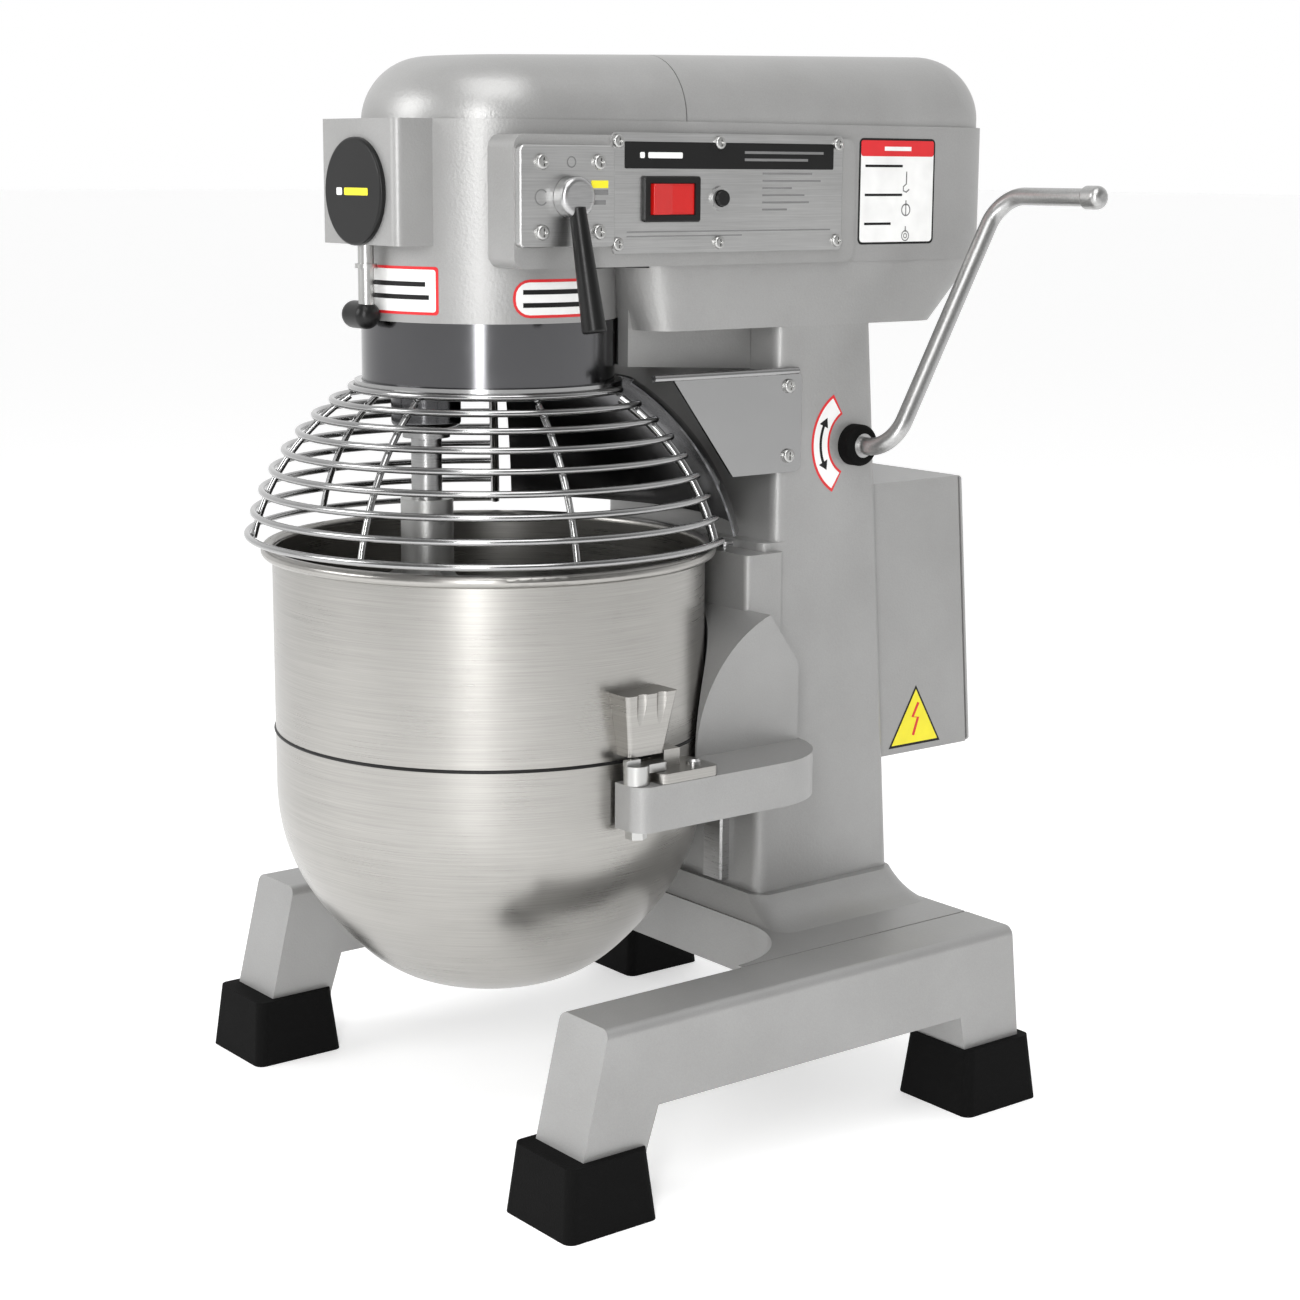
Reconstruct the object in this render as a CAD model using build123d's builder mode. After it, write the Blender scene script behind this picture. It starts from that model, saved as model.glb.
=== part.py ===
from build123d import *
import math
import os

# Commercial planetary stand mixer, 20-litre class.  Millimetres, +Z up, the bowl at the front (-Y),
# the controls and the lift lever on the right (+X).  The origin is under the middle of the whole
# machine, on the floor; heights are above the floor and all plans are drawn round the bowl's axis.

# ---------------------------------------------------------------- driving dimensions
BOWL_X, BOWL_Y = -2.0, -116.5    # the bowl's axis from the origin

BASE_HALF = 232.0                # half the width over the two side beams
BEAM_INNER = 178.0               # inner face of a side beam
BEAM_TOP, BEAM_LOW = 137.0, 76.0
BASE_REAR = 322.0
BOOT_SIDE, BOOT_HIGH = 76.0, 50.0

COLUMN_HALF = 104.0
COLUMN_FRONT = 172.0
COLUMN_NECK = 184.0              # front face above the slide ways, set back for the guard
COLUMN_TOP = 582.0
WALL = 8.0

HEAD_HALF = 108.0
DRUM_R = 91.0                    # nose of the head, round the bowl's axis
DRUM_LOW = 590.0
HEAD_FLOOR = 628.0
SEAM = 726.0                     # joint between the head and its top covers
TOP = 780.0                      # rear end of the covers' crest
CREST_DROP = 12.0                # the crest falls by this towards the nose
HEAD_REAR = 404.0
COVER_SPLIT = 96.0
HUB_HALF, HUB_FACE = 48.0, -107.0
HUB_Z = 677.5
HUB_BORE = 19.0
KNOB_Y = HUB_FACE + 6.0          # axis of the attachment clamp screw

PAD_X = 112.0                    # raised machined pad under the controls
PANEL_X = 114.0
PLATE_X = 118.0
SHIFT_Y, SHIFT_Z = -14.5, 675.0  # axis of the speed lever
ROCKER_Y, ROCKER_Z = 74.0, 673.5
BUTTON_Y, BUTTON_Z = 118.0, 674.0

BOWL_R, BOWL_WALL = 156.0, 1.6
BOWL_RIM_Z, BOWL_LOW = 425.0, 105.0
BOWL_BEND_Z = 255.0              # where the straight wall turns into the rounded bottom

RING_R, RING_Z = 173.0, 437.0    # lowest ring of the wire guard
CROWN_R, CROWN_Z = 98.0, 541.0   # its uppermost ring
BULGE_R, BULGE_Z = 144.0, 499.0  # a point of the guard's curve between them
WIRE_R = 2.4

LIFT_Y, LIFT_Z = 259.0, 492.0    # axis of the lift lever
LIFT_R = 48.0                    # pitch radius of the lift sector
ROD_X = 146.0                    # plane in which the lever's rod swings
ROD_R = 6.5
LEVER_LEAN = 60.0                # the rod's slope above the horizontal, degrees
LEVER_LONG = 212.0
GRIP_END = 240.0

SLIDE_LOW, SLIDE_TOP = 250.0, 418.0
YOKE_HALF = 112.0
ARM_TOP, ARM_LOW = 282.0, 250.0
ARM_X = 172.0                    # middle of a yoke arm
CLAMP_Y = 2.0

PLANET = 45.0                    # throw of the agitator
PLANET_ANGLE = 231.8
MODULE = 2.5
RING_TEETH, PLANET_TEETH = 54, 18
MAIN_TEETH, LAY_SMALL_TEETH = 60, 20
LAY_LARGE_TEETH, MOTOR_TEETH = 50, 18
LAY_Y = MODULE * (MAIN_TEETH + LAY_SMALL_TEETH) / 2
MOTOR_Y = LAY_Y + MODULE * (LAY_LARGE_TEETH + MOTOR_TEETH) / 2
FIT = 0.05                       # radial running clearance
GAP = 0.3                        # clearance between different bodies

os.makedirs("parts", exist_ok=True)
AXIS = Axis((BOWL_X, BOWL_Y, 0), (0, 0, 1))


def level(height):
    """Horizontal plane on the bowl's axis: sketch x is right, y is rearward."""
    return Plane((BOWL_X, BOWL_Y, height))


def side(x):
    """Upright plane across the machine: sketch x is rearward, y is up, the normal is right."""
    return Plane((BOWL_X + x, BOWL_Y, 0), x_dir=(0, 1, 0), z_dir=(1, 0, 0))


def front(y):
    """Upright plane facing the front: sketch x is right, y is up, the normal is forward."""
    return Plane((BOWL_X, BOWL_Y + y, 0), x_dir=(1, 0, 0), z_dir=(0, -1, 0))


def head_plan(inset):
    """Outline of the head in the current sketch: round nose, nearly parallel sides, round rear."""
    Circle(DRUM_R - inset)
    with Locations((HEAD_HALF - 50, 112), (50 - HEAD_HALF, 112)):
        Circle(50 - inset)
    with Locations((HEAD_HALF - 42, HEAD_REAR - 42), (42 - HEAD_HALF, HEAD_REAR - 42)):
        Circle(42 - inset)
    make_hull()


def gear_sketch(teeth, bore, turn=0.0):
    """Spur gear outline: flat-flanked teeth with backlash, one tooth at the angle turn."""
    pitch = MODULE * teeth / 2
    Circle(pitch - 1.15 * MODULE)
    with PolarLocations(pitch - 0.2 * MODULE, teeth, start_angle=turn):
        Trapezoid(2.05 * MODULE, 2.1 * MODULE, 70, rotation=-90)
    if bore:
        Circle(bore, mode=Mode.SUBTRACT)


def save(part, name):
    part.label = name
    export_step(part, f"parts/{name}.step")


def radial(angle):
    """Upright plane through the bowl's axis: sketch x is the radius, y is the height."""
    turn = math.radians(angle)
    return Plane((BOWL_X, BOWL_Y, 0), x_dir=(math.cos(turn), math.sin(turn), 0),
                 z_dir=(math.sin(turn), -math.cos(turn), 0))


def screw_set(plane, places, radius, high, shank, deep):
    """Pan-head cross-recess screws standing on a plane, a separate solid at each place."""
    with BuildPart() as screws:
        with BuildSketch(plane):
            with Locations(*places):
                Circle(radius)
        extrude(amount=high)
        tops = screws.faces().filter_by(lambda f: plane.to_local_coords(f.center()).Z > high - 0.01)
        fillet(tops.edges(), high * 0.6)
        with BuildSketch(plane.offset(high)):
            with Locations(*places):
                Rectangle(radius * 1.1, radius * 0.24)
                Rectangle(radius * 0.24, radius * 1.1)
        extrude(amount=-high * 0.5, mode=Mode.SUBTRACT)
        with BuildSketch(plane):
            with Locations(*places):
                Circle(shank)
        extrude(amount=-deep)
    return screws.part


def dome(inset, low, high, radius):
    """Closed form of the top covers: the head's outline with a deep rounded shoulder."""
    with BuildPart() as form:
        with BuildSketch(level(low)):
            head_plan(inset)
        extrude(amount=high - low)
        lean = math.atan2(CREST_DROP, HEAD_REAR + DRUM_R)
        split(bisect_by=Plane((BOWL_X, BOWL_Y + HEAD_REAR, high), x_dir=(1, 0, 0),
                              z_dir=(0, -math.sin(lean), math.cos(lean))), keep=Keep.BOTTOM)
        fillet(form.faces().sort_by(Axis.Z)[-1].edges(), radius)
    return form.part


# ---------------------------------------------------------------- base and column
FOOT_Y = 238.0                   # middle of the column's foot
CROSS_FRONT = 160.0              # front face of the base's crosspiece
WING_R = 70.0                    # plan radius where the crosspiece runs into the beams

with BuildPart() as base:
    with BuildSketch(side(BEAM_INNER)):
        with BuildLine():
            Polyline((-66, BEAM_TOP), (-88, 46), (-97, 8), (-40, 8), (-34, 46), (-24, BEAM_LOW),
                     (262, BEAM_LOW), (268, 46), (276, 8), (326, 8), (324, 46),
                     (BASE_REAR - 8, BEAM_TOP), close=True)
        make_face()
    extrude(amount=BASE_HALF - BEAM_INNER)
    mirror(about=side(0))
    fillet(base.edges().filter_by(Axis.Y).group_by(Axis.Z)[-1], 7)
    with BuildSketch(level(96)):
        with Locations((0, (CROSS_FRONT + BASE_REAR - 8) / 2)):
            Rectangle(2 * BEAM_INNER + 8, BASE_REAR - 8 - CROSS_FRONT)
        with Locations((BEAM_INNER - 33, CROSS_FRONT - 33), (33 - BEAM_INNER, CROSS_FRONT - 33)):
            Rectangle(WING_R + 4, WING_R + 4)
        with Locations((BEAM_INNER - WING_R, CROSS_FRONT - WING_R),
                       (WING_R - BEAM_INNER, CROSS_FRONT - WING_R)):
            Circle(WING_R, mode=Mode.SUBTRACT)
    extrude(amount=BEAM_TOP - 96)
    for height, width, depth in ((BEAM_TOP - 1, 96, 153), (BEAM_TOP + 7, 44, 147), (BEAM_TOP + 20, 14, 142)):
        with BuildSketch(level(height)):
            with Locations((0, FOOT_Y)):
                RectangleRounded(2 * COLUMN_HALF + width, depth, 14)
    loft()
    with BuildSketch(level(90)):
        with Locations((0, FOOT_Y)):
            Rectangle(2 * COLUMN_HALF - 30, 104)
    extrude(amount=80, mode=Mode.SUBTRACT)
save(base.part, "base_casting")

with BuildPart() as boots:
    for x, y in ((205, -69), (-205, -69), (205, 299), (-205, 299)):
        for height, inset in ((0, 0), (BOOT_HIGH, 10)):
            with BuildSketch(level(height)):
                with Locations((x, y)):
                    RectangleRounded(BOOT_SIDE - inset, BOOT_SIDE - inset, 7)
        loft()
    add(base.part, mode=Mode.SUBTRACT)
save(boots.part, "rubber_boots")

with BuildPart() as column:
    with BuildSketch(side(-COLUMN_HALF)):
        with BuildLine():
            Polyline((COLUMN_FRONT, BEAM_TOP + 20), (308, BEAM_TOP + 20), (277, COLUMN_TOP),
                     (COLUMN_NECK, COLUMN_TOP), (COLUMN_NECK, SLIDE_TOP + 6),
                     (COLUMN_FRONT, SLIDE_TOP + 6), close=True)
        make_face()
    extrude(amount=2 * COLUMN_HALF)
    fillet(column.edges().filter_by(lambda e: abs(abs(e.center().X - BOWL_X) - COLUMN_HALF) < 0.1
                                    and e.bounding_box().size.Z > 100), 9)
    with BuildSketch(side(-COLUMN_HALF + WALL)):
        with BuildLine():
            Polyline((COLUMN_NECK + 2, BEAM_TOP + 10), (300, BEAM_TOP + 10), (268, COLUMN_TOP + 1),
                     (COLUMN_NECK + WALL, COLUMN_TOP + 1), (COLUMN_NECK + WALL, SLIDE_TOP + 15),
                     (COLUMN_NECK + 2, SLIDE_TOP), close=True)
        make_face()
    extrude(amount=2 * (COLUMN_HALF - WALL), mode=Mode.SUBTRACT)
    with BuildSketch(front(COLUMN_NECK + 4)):            # slot for the rack's bracket
        with Locations((0, 300)):
            Rectangle(44, 246)
    extrude(amount=30, mode=Mode.SUBTRACT)
    with BuildSketch(side(COLUMN_HALF + 1)):             # bore of the lift lever's bush
        with Locations((LIFT_Y, LIFT_Z)):
            Circle(15)
    extrude(amount=-WALL - 3, mode=Mode.SUBTRACT)
    with BuildSketch(side(-COLUMN_HALF + WALL)):         # blind boss for the shaft's far end
        with Locations((LIFT_Y, LIFT_Z)):
            Circle(16)
    extrude(amount=26)
    with BuildSketch(side(-COLUMN_HALF + WALL)):
        with Locations((LIFT_Y, LIFT_Z)):
            Circle(9 + FIT)
    extrude(amount=27, mode=Mode.SUBTRACT)
save(column.part, "column")

with BuildPart() as ways:
    with BuildSketch(level(BEAM_TOP + 24)):
        with Locations((58, COLUMN_FRONT - 4), (-58, COLUMN_FRONT - 4)):
            Rectangle(22, 8)
    extrude(amount=SLIDE_TOP + 4 - BEAM_TOP - 24)
    chamfer(ways.edges().filter_by(Axis.Z).group_by(Axis.Y)[0], 1.5)
save(ways.part, "slide_ways")

# ---------------------------------------------------------------- head
with BuildPart() as head:
    with BuildSketch(level(HEAD_FLOOR)):
        head_plan(0)
    extrude(amount=SEAM - HEAD_FLOOR)
    with BuildSketch(level(DRUM_LOW)):
        Circle(DRUM_R)
    extrude(amount=HEAD_FLOOR - DRUM_LOW)
    for height, half, near, far, corner in ((HEAD_FLOOR + 4, HEAD_HALF - 0.5, 60, HEAD_REAR - 0.5, 40),
                                            (COLUMN_TOP, COLUMN_HALF, 74, 346, 22)):
        with BuildSketch(level(height)):
            with Locations((0, (near + far) / 2)):
                RectangleRounded(2 * half, far - near, corner)
    loft()
    with BuildSketch(side(-72)):                         # neck between the drum and the column
        with BuildLine():
            Polyline((70, 600), (70, 556), (COLUMN_NECK - GAP, 550), (COLUMN_NECK - GAP, 600), close=True)
        make_face()
    extrude(amount=144)
    with BuildSketch(level(SEAM)):                       # hub housing on the nose
        with Locations((0, HUB_FACE / 2)):
            RectangleRounded(2 * HUB_HALF, -HUB_FACE, 6)
    extrude(amount=-84)
    with BuildSketch(side(PAD_X)):                       # raised pad for the controls
        with Locations((96, 672)):
            RectangleRounded(304, 88, 9)
    extrude(amount=-30)
    with BuildSketch(level(HEAD_FLOOR - 2)):             # inside of the gear case and motor room
        head_plan(WALL)
    extrude(amount=SEAM - HEAD_FLOOR + 3, mode=Mode.SUBTRACT)
    for height, half, near, far, corner in ((HEAD_FLOOR, HEAD_HALF - WALL - 1, 92, HEAD_REAR - WALL - 1, 34),
                                            (COLUMN_TOP + WALL, COLUMN_HALF - WALL, 102, 334, 16)):
        with BuildSketch(level(height)):
            with Locations((0, (near + far) / 2)):
                RectangleRounded(2 * half, far - near, corner)
    loft(mode=Mode.SUBTRACT)
    with BuildSketch(level(DRUM_LOW - 45)):              # room for the ring gear, and the collar's seat
        Circle(DRUM_R - 7)
    extrude(amount=45 + 26, mode=Mode.SUBTRACT)
    with BuildSketch(level(DRUM_LOW - 45)):
        Circle(DRUM_R + 1.5)
    extrude(amount=45, mode=Mode.SUBTRACT)
    with BuildSketch(level(DRUM_LOW + 20)):              # lower bearing seat
        Circle(28)
    extrude(amount=30, mode=Mode.SUBTRACT)
    with BuildSketch(level(COLUMN_TOP - 2)):             # opening down into the column
        with Locations((0, 226)):
            RectangleRounded(150, 66, 8)
    extrude(amount=20, mode=Mode.SUBTRACT)
    with BuildSketch(front(HUB_FACE - 1)):               # attachment hub: a through bore in the nose
        with Locations((0, HUB_Z)):
            Circle(HUB_BORE)
    extrude(amount=HUB_FACE + 60, mode=Mode.SUBTRACT)
    with BuildSketch(level(SEAM - 90)):                  # clamp knob's thread
        with Locations((0, KNOB_Y)):
            Circle(4 + FIT)
    extrude(amount=30, mode=Mode.SUBTRACT)
    with BuildSketch(side(PAD_X + 1)):                   # shift shaft's bore
        with Locations((SHIFT_Y, SHIFT_Z)):
            Circle(7 + FIT)
    extrude(amount=-45, mode=Mode.SUBTRACT)
    with BuildSketch(side(PAD_X + 1)):                   # switch and button openings
        with Locations((ROCKER_Y, ROCKER_Z)):
            Rectangle(44, 25)
        with Locations((BUTTON_Y, BUTTON_Z)):
            Circle(6)
    extrude(amount=-45, mode=Mode.SUBTRACT)
    add(column.part, mode=Mode.SUBTRACT)
save(head.part, "head_housing")

with BuildPart() as front_cover:
    add(dome(3, SEAM, TOP, 46))
    add(dome(7, SEAM - 1, TOP - 4, 42), mode=Mode.SUBTRACT)
    split(bisect_by=front(COVER_SPLIT), keep=Keep.TOP)
save(front_cover.part, "front_top_cover")

with BuildPart() as rear_cover:
    add(dome(3, SEAM, TOP, 46))
    add(dome(7, SEAM - 1, TOP - 4, 42), mode=Mode.SUBTRACT)
    split(bisect_by=front(COVER_SPLIT + 0.8), keep=Keep.BOTTOM)
save(rear_cover.part, "rear_top_cover")

with BuildPart() as hub_disc:
    with BuildSketch(front(HUB_FACE)):
        with Locations((0, HUB_Z)):
            Circle(36.3)
    extrude(amount=4)
    fillet(hub_disc.edges().group_by(Axis.Y)[0], 1.8)
    with BuildSketch(front(HUB_FACE)):
        with Locations((0, HUB_Z)):
            Circle(HUB_BORE - 0.6)
    extrude(amount=-3)
save(hub_disc.part, "hub_cover_disc")

with BuildPart() as clamp_stem:
    with BuildSketch(level(600)):
        with Locations((0, KNOB_Y)):
            Circle(5.5)
    extrude(amount=SEAM - 84 - GAP - 600)
    with BuildSketch(level(626)):                        # bright collar
        with Locations((0, KNOB_Y)):
            Circle(7.5)
    extrude(amount=3)
    with BuildSketch(level(SEAM - 84 - GAP)):
        with Locations((0, KNOB_Y)):
            Circle(4)
    extrude(amount=14)
save(clamp_stem.part, "hub_clamp_screw")

with BuildPart() as clamp_knob:
    with BuildSketch(side(-23)):
        with Locations((KNOB_Y, 594)):
            Circle(9.5)
    extrude(amount=31)
    fillet(clamp_knob.edges(), 8)
    add(clamp_stem.part, mode=Mode.SUBTRACT)
save(clamp_knob.part, "hub_clamp_knob")

# ---------------------------------------------------------------- controls on the pad
SHIFT_SCREWS = [(SHIFT_Y + dy, SHIFT_Z + dz) for dy in (-23.5, 23.5) for dz in (-23, 23)]
PANEL_SCREWS = [(y, z) for y in (28, 117, 228) for z in (643.5, 712)]

shift_screws = screw_set(side(PLATE_X), SHIFT_SCREWS, 5.2, 3.2, 2.5, 5)
panel_screws = screw_set(side(PANEL_X), PANEL_SCREWS, 4.6, 2.8, 2, 1.5)

with BuildPart() as shift_plate:
    with BuildSketch(side(PAD_X)):
        with Locations((-16, 675.5)):
            RectangleRounded(78, 67, 4)
        with Locations((SHIFT_Y, SHIFT_Z)):
            Circle(7 + FIT, mode=Mode.SUBTRACT)
    extrude(amount=PLATE_X - PAD_X)
    chamfer(shift_plate.faces().sort_by(Axis.X)[-1].outer_wire().edges(), 0.8)
    add(shift_screws, mode=Mode.SUBTRACT)
save(shift_plate.part, "shift_plate")
save(shift_screws, "shift_plate_screws")

with BuildPart() as panel:
    with BuildSketch(side(PAD_X)):
        with Locations((128.6, 677.5)):
            RectangleRounded(208.6, 81, 3)
        with Locations((ROCKER_Y, ROCKER_Z)):
            Rectangle(44, 25, mode=Mode.SUBTRACT)
        with Locations((BUTTON_Y, BUTTON_Z)):
            Circle(6, mode=Mode.SUBTRACT)
    extrude(amount=PANEL_X - PAD_X)
    with BuildSketch(side(PANEL_X)):                     # raised rim round the button
        with Locations((BUTTON_Y, BUTTON_Z)):
            Circle(8.2)
            Circle(6, mode=Mode.SUBTRACT)
    extrude(amount=2)
    add(panel_screws, mode=Mode.SUBTRACT)
save(panel.part, "control_panel")
save(panel_screws, "control_panel_screws")

with BuildPart() as bezel:
    with BuildSketch(side(PANEL_X)):
        with Locations((ROCKER_Y, ROCKER_Z)):
            RectangleRounded(50, 31, 2)
    extrude(amount=3)
    chamfer(bezel.faces().sort_by(Axis.X)[-1].edges(), 1)
    with BuildSketch(side(PANEL_X - 12)):
        with Locations((ROCKER_Y, ROCKER_Z)):
            Rectangle(43.4, 24.4)
    extrude(amount=12)
    with BuildSketch(side(PANEL_X - 10)):
        with Locations((ROCKER_Y, ROCKER_Z)):
            Rectangle(39.6, 21.6)
    extrude(amount=14, mode=Mode.SUBTRACT)
save(bezel.part, "switch_bezel")

ROCKER_X = PANEL_X - 1.0         # hinge axis of the rocker
ROCKER_TILT = 6.0
rocker_plane = Plane((BOWL_X + ROCKER_X, BOWL_Y + ROCKER_Y, ROCKER_Z)).rotated((0, 0, ROCKER_TILT))
with BuildPart() as rocker:
    with BuildSketch(rocker_plane.offset(-10.4)):
        with BuildLine():
            Polyline((-3.5, -18), (4.6, -19.2), (2.8, 0), (4.6, 19.2), (-3.5, 18), close=True)
        make_face()
    extrude(amount=20.8)
    fillet(rocker.edges().filter_by(Axis.Z).group_by(Axis.X)[-1], 0.8)
save(rocker.part, "power_rocker")

with BuildPart() as button:
    with BuildSketch(side(PANEL_X - 6)):
        with Locations((BUTTON_Y, BUTTON_Z)):
            Circle(5.5)
    extrude(amount=11)
    fillet(button.edges().group_by(Axis.X)[-1], 1)
save(button.part, "stop_button")

with BuildPart() as shift_lever:
    with BuildSketch(side(PLATE_X + GAP)):
        with Locations((SHIFT_Y, SHIFT_Z)):
            Circle(14)
    extrude(amount=11)
    fillet(shift_lever.edges().group_by(Axis.X)[-1], 4)
    with BuildSketch(side(72)):
        with Locations((SHIFT_Y, SHIFT_Z)):
            Circle(7)
    extrude(amount=PLATE_X + GAP - 72)
    with BuildSketch(side(66)):                          # arm that moves the sliding gear
        with Locations((SHIFT_Y, SHIFT_Z)):
            Circle(11)
        with Locations((SHIFT_Y, SHIFT_Z + 9)):
            Rectangle(9, 22)
    extrude(amount=6)
save(shift_lever.part, "shift_shaft")

grip_plane = Plane((BOWL_X + PLATE_X + 8, BOWL_Y + SHIFT_Y, SHIFT_Z - 7), x_dir=(0, 1, 0),
                   z_dir=(0.17, 0.05, -1))
with BuildPart() as shift_grip:
    for along, radius in ((0, 5.6), (83, 8.4)):
        with BuildSketch(grip_plane.offset(along)):
            Circle(radius)
    loft()
    fillet(shift_grip.edges().group_by(Axis.Z)[0], 2)
    add(shift_lever.part, mode=Mode.SUBTRACT)
save(shift_grip.part, "shift_grip")

# ---------------------------------------------------------------- guard
with BuildPart() as collar:
    with BuildSketch(front(0)):
        with BuildLine():
            Polyline((86, 538), (93.5, 538), (93.5, CROWN_Z), (90, CROWN_Z), (90, DRUM_LOW), (86, DRUM_LOW),
                     close=True)
        make_face()
    revolve(axis=AXIS)
save(collar.part, "drum_collar")

GUARD_END = 36.0                 # the wire guard stops here, right of the column
GUARD_BAYS = 5
GUARD_SPAN = 180 + 2 * GUARD_END
RINGS = 9
chord_a = Vector(BULGE_R - CROWN_R, BULGE_Z - CROWN_Z)
chord_b = Vector(RING_R - CROWN_R, RING_Z - CROWN_Z)
cross = 2 * (chord_a.X * chord_b.Y - chord_a.Y * chord_b.X)
arc_r = (chord_b.Y * chord_a.length ** 2 - chord_a.Y * chord_b.length ** 2) / cross + CROWN_R
arc_z = (chord_a.X * chord_b.length ** 2 - chord_b.X * chord_a.length ** 2) / cross + CROWN_Z
arc_size = math.hypot(CROWN_R - arc_r, CROWN_Z - arc_z)
crown_turn = math.atan2(CROWN_Z - arc_z, CROWN_R - arc_r)
ring_turn = math.atan2(RING_Z - arc_z, RING_R - arc_r)


def guard_point(share, out=0.0):
    """Radius and height on the guard's curve, from its crown (0) to its lowest ring (1)."""
    turn = crown_turn + share * (ring_turn - crown_turn)
    return (arc_r + (arc_size + out) * math.cos(turn), arc_z + (arc_size + out) * math.sin(turn))


with BuildPart() as rings:
    with BuildSketch(radial(GUARD_END)):
        with Locations(*[guard_point(i / (RINGS - 1)) for i in range(RINGS)]):
            Circle(WIRE_R)
    revolve(axis=AXIS, revolution_arc=-GUARD_SPAN)
save(rings.part, "guard_rings")

with BuildPart() as ribs:
    with BuildSketch(level(CROWN_Z + GAP)):              # hoop that runs on the collar's lip
        Circle(95.3)
        Circle(90 + GAP, mode=Mode.SUBTRACT)
    extrude(amount=5)
    for bay in range(GUARD_BAYS + 1):
        plane = radial(GUARD_END - bay * GUARD_SPAN / GUARD_BAYS)
        thick = 3.4 if bay in (0, GUARD_BAYS) else WIRE_R
        inside = -WIRE_R - thick + 0.6
        with BuildLine(plane) as path:
            ThreePointArc(guard_point(0.03, inside), guard_point(0.5, inside), guard_point(1.0, inside))
        with BuildSketch(Plane(origin=path.line @ 0, z_dir=path.line % 0)):
            Circle(thick)
        sweep()
save(ribs.part, "guard_ribs")

SHEET_OUT = 6.0
with BuildPart() as splash:
    with BuildSketch(radial(40)):
        with BuildLine():
            inner_arc = ThreePointArc(guard_point(0.02, SHEET_OUT), guard_point(0.5, SHEET_OUT),
                                      guard_point(1.0, SHEET_OUT))
            outer_arc = ThreePointArc(guard_point(0.02, SHEET_OUT + 1.4), guard_point(0.5, SHEET_OUT + 1.4),
                                      guard_point(1.0, SHEET_OUT + 1.4))
            Line(inner_arc @ 0, outer_arc @ 0)
            Line(inner_arc @ 1, outer_arc @ 1)
        make_face()
    revolve(axis=AXIS, revolution_arc=100)
save(splash.part, "rear_splash_sheet")

BRACKET_SCREWS = [(192, 539), (192, 488)]
with BuildPart() as bracket_screws:
    add(screw_set(side(COLUMN_HALF + 2), BRACKET_SCREWS, 5.2, 3, 2.5, 2))
    mirror(about=side(0))
with BuildPart() as brackets:
    with BuildSketch(side(COLUMN_HALF)):
        with BuildLine():
            Polyline((84, 549), (205, 549), (205, 476), (140, 476), close=True)
        make_face()
    extrude(amount=2)
    fillet(brackets.edges().filter_by(Axis.X).group_by(Axis.Y)[-1], 6)
    with BuildSketch(front(66)):                         # stiffening rod along the upper edge
        with Locations((COLUMN_HALF + 2.6, 550)):
            Circle(2.6)
    extrude(amount=-134)
    with BuildSketch(radial(0)):                         # room for the guard and the splash sheet
        with BuildLine():
            rim_arc = ThreePointArc(guard_point(0, SHEET_OUT + 1.5), guard_point(0.5, SHEET_OUT + 1.5),
                                    guard_point(1.1, SHEET_OUT + 1.5))
            Polyline(rim_arc @ 1, (0, (rim_arc @ 1).Y), (0, (rim_arc @ 0).Y), rim_arc @ 0)
        make_face()
    revolve(axis=AXIS, mode=Mode.SUBTRACT)
    mirror(about=side(0))
    add(bracket_screws.part, mode=Mode.SUBTRACT)
save(brackets.part, "guard_brackets")
save(bracket_screws.part, "guard_bracket_screws")

# ---------------------------------------------------------------- bowl, yoke and clamps
BOWL_CLEAR = 158.6               # radius of the yoke's bay round the bowl


def bowl_form(inset, rise):
    """Closed form of the bowl's side and rounded bottom, drawn in by inset and raised by rise."""
    with BuildPart() as form:
        with BuildSketch(front(0)):
            with BuildLine():
                bottom = Line((0, BOWL_LOW + rise), (28, BOWL_LOW + rise))
                wall = Line((BOWL_R - inset, BOWL_RIM_Z), (BOWL_R - inset, BOWL_BEND_Z))
                Spline(bottom @ 1, (110 - inset * 0.7, 146 + rise * 0.7), wall @ 1,
                       tangents=((1, 0), (0, 1)))
                Line(wall @ 0, (0, BOWL_RIM_Z))
                Line((0, BOWL_RIM_Z), bottom @ 0)
            make_face()
        revolve(axis=AXIS)
    return form.part


bowl_outside = bowl_form(0, 0)
with BuildPart() as bowl:
    add(bowl_outside)
    with BuildSketch(front(0)):
        with Locations((BOWL_R + 3.6, BOWL_RIM_Z)):
            Circle(4.4)
    revolve(axis=AXIS)
    with BuildSketch(level(BOWL_RIM_Z)):
        Circle(BOWL_R - BOWL_WALL)
    extrude(amount=8, mode=Mode.SUBTRACT)
    add(bowl_form(BOWL_WALL, BOWL_WALL), mode=Mode.SUBTRACT)
save(bowl.part, "mixing_bowl")

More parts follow.
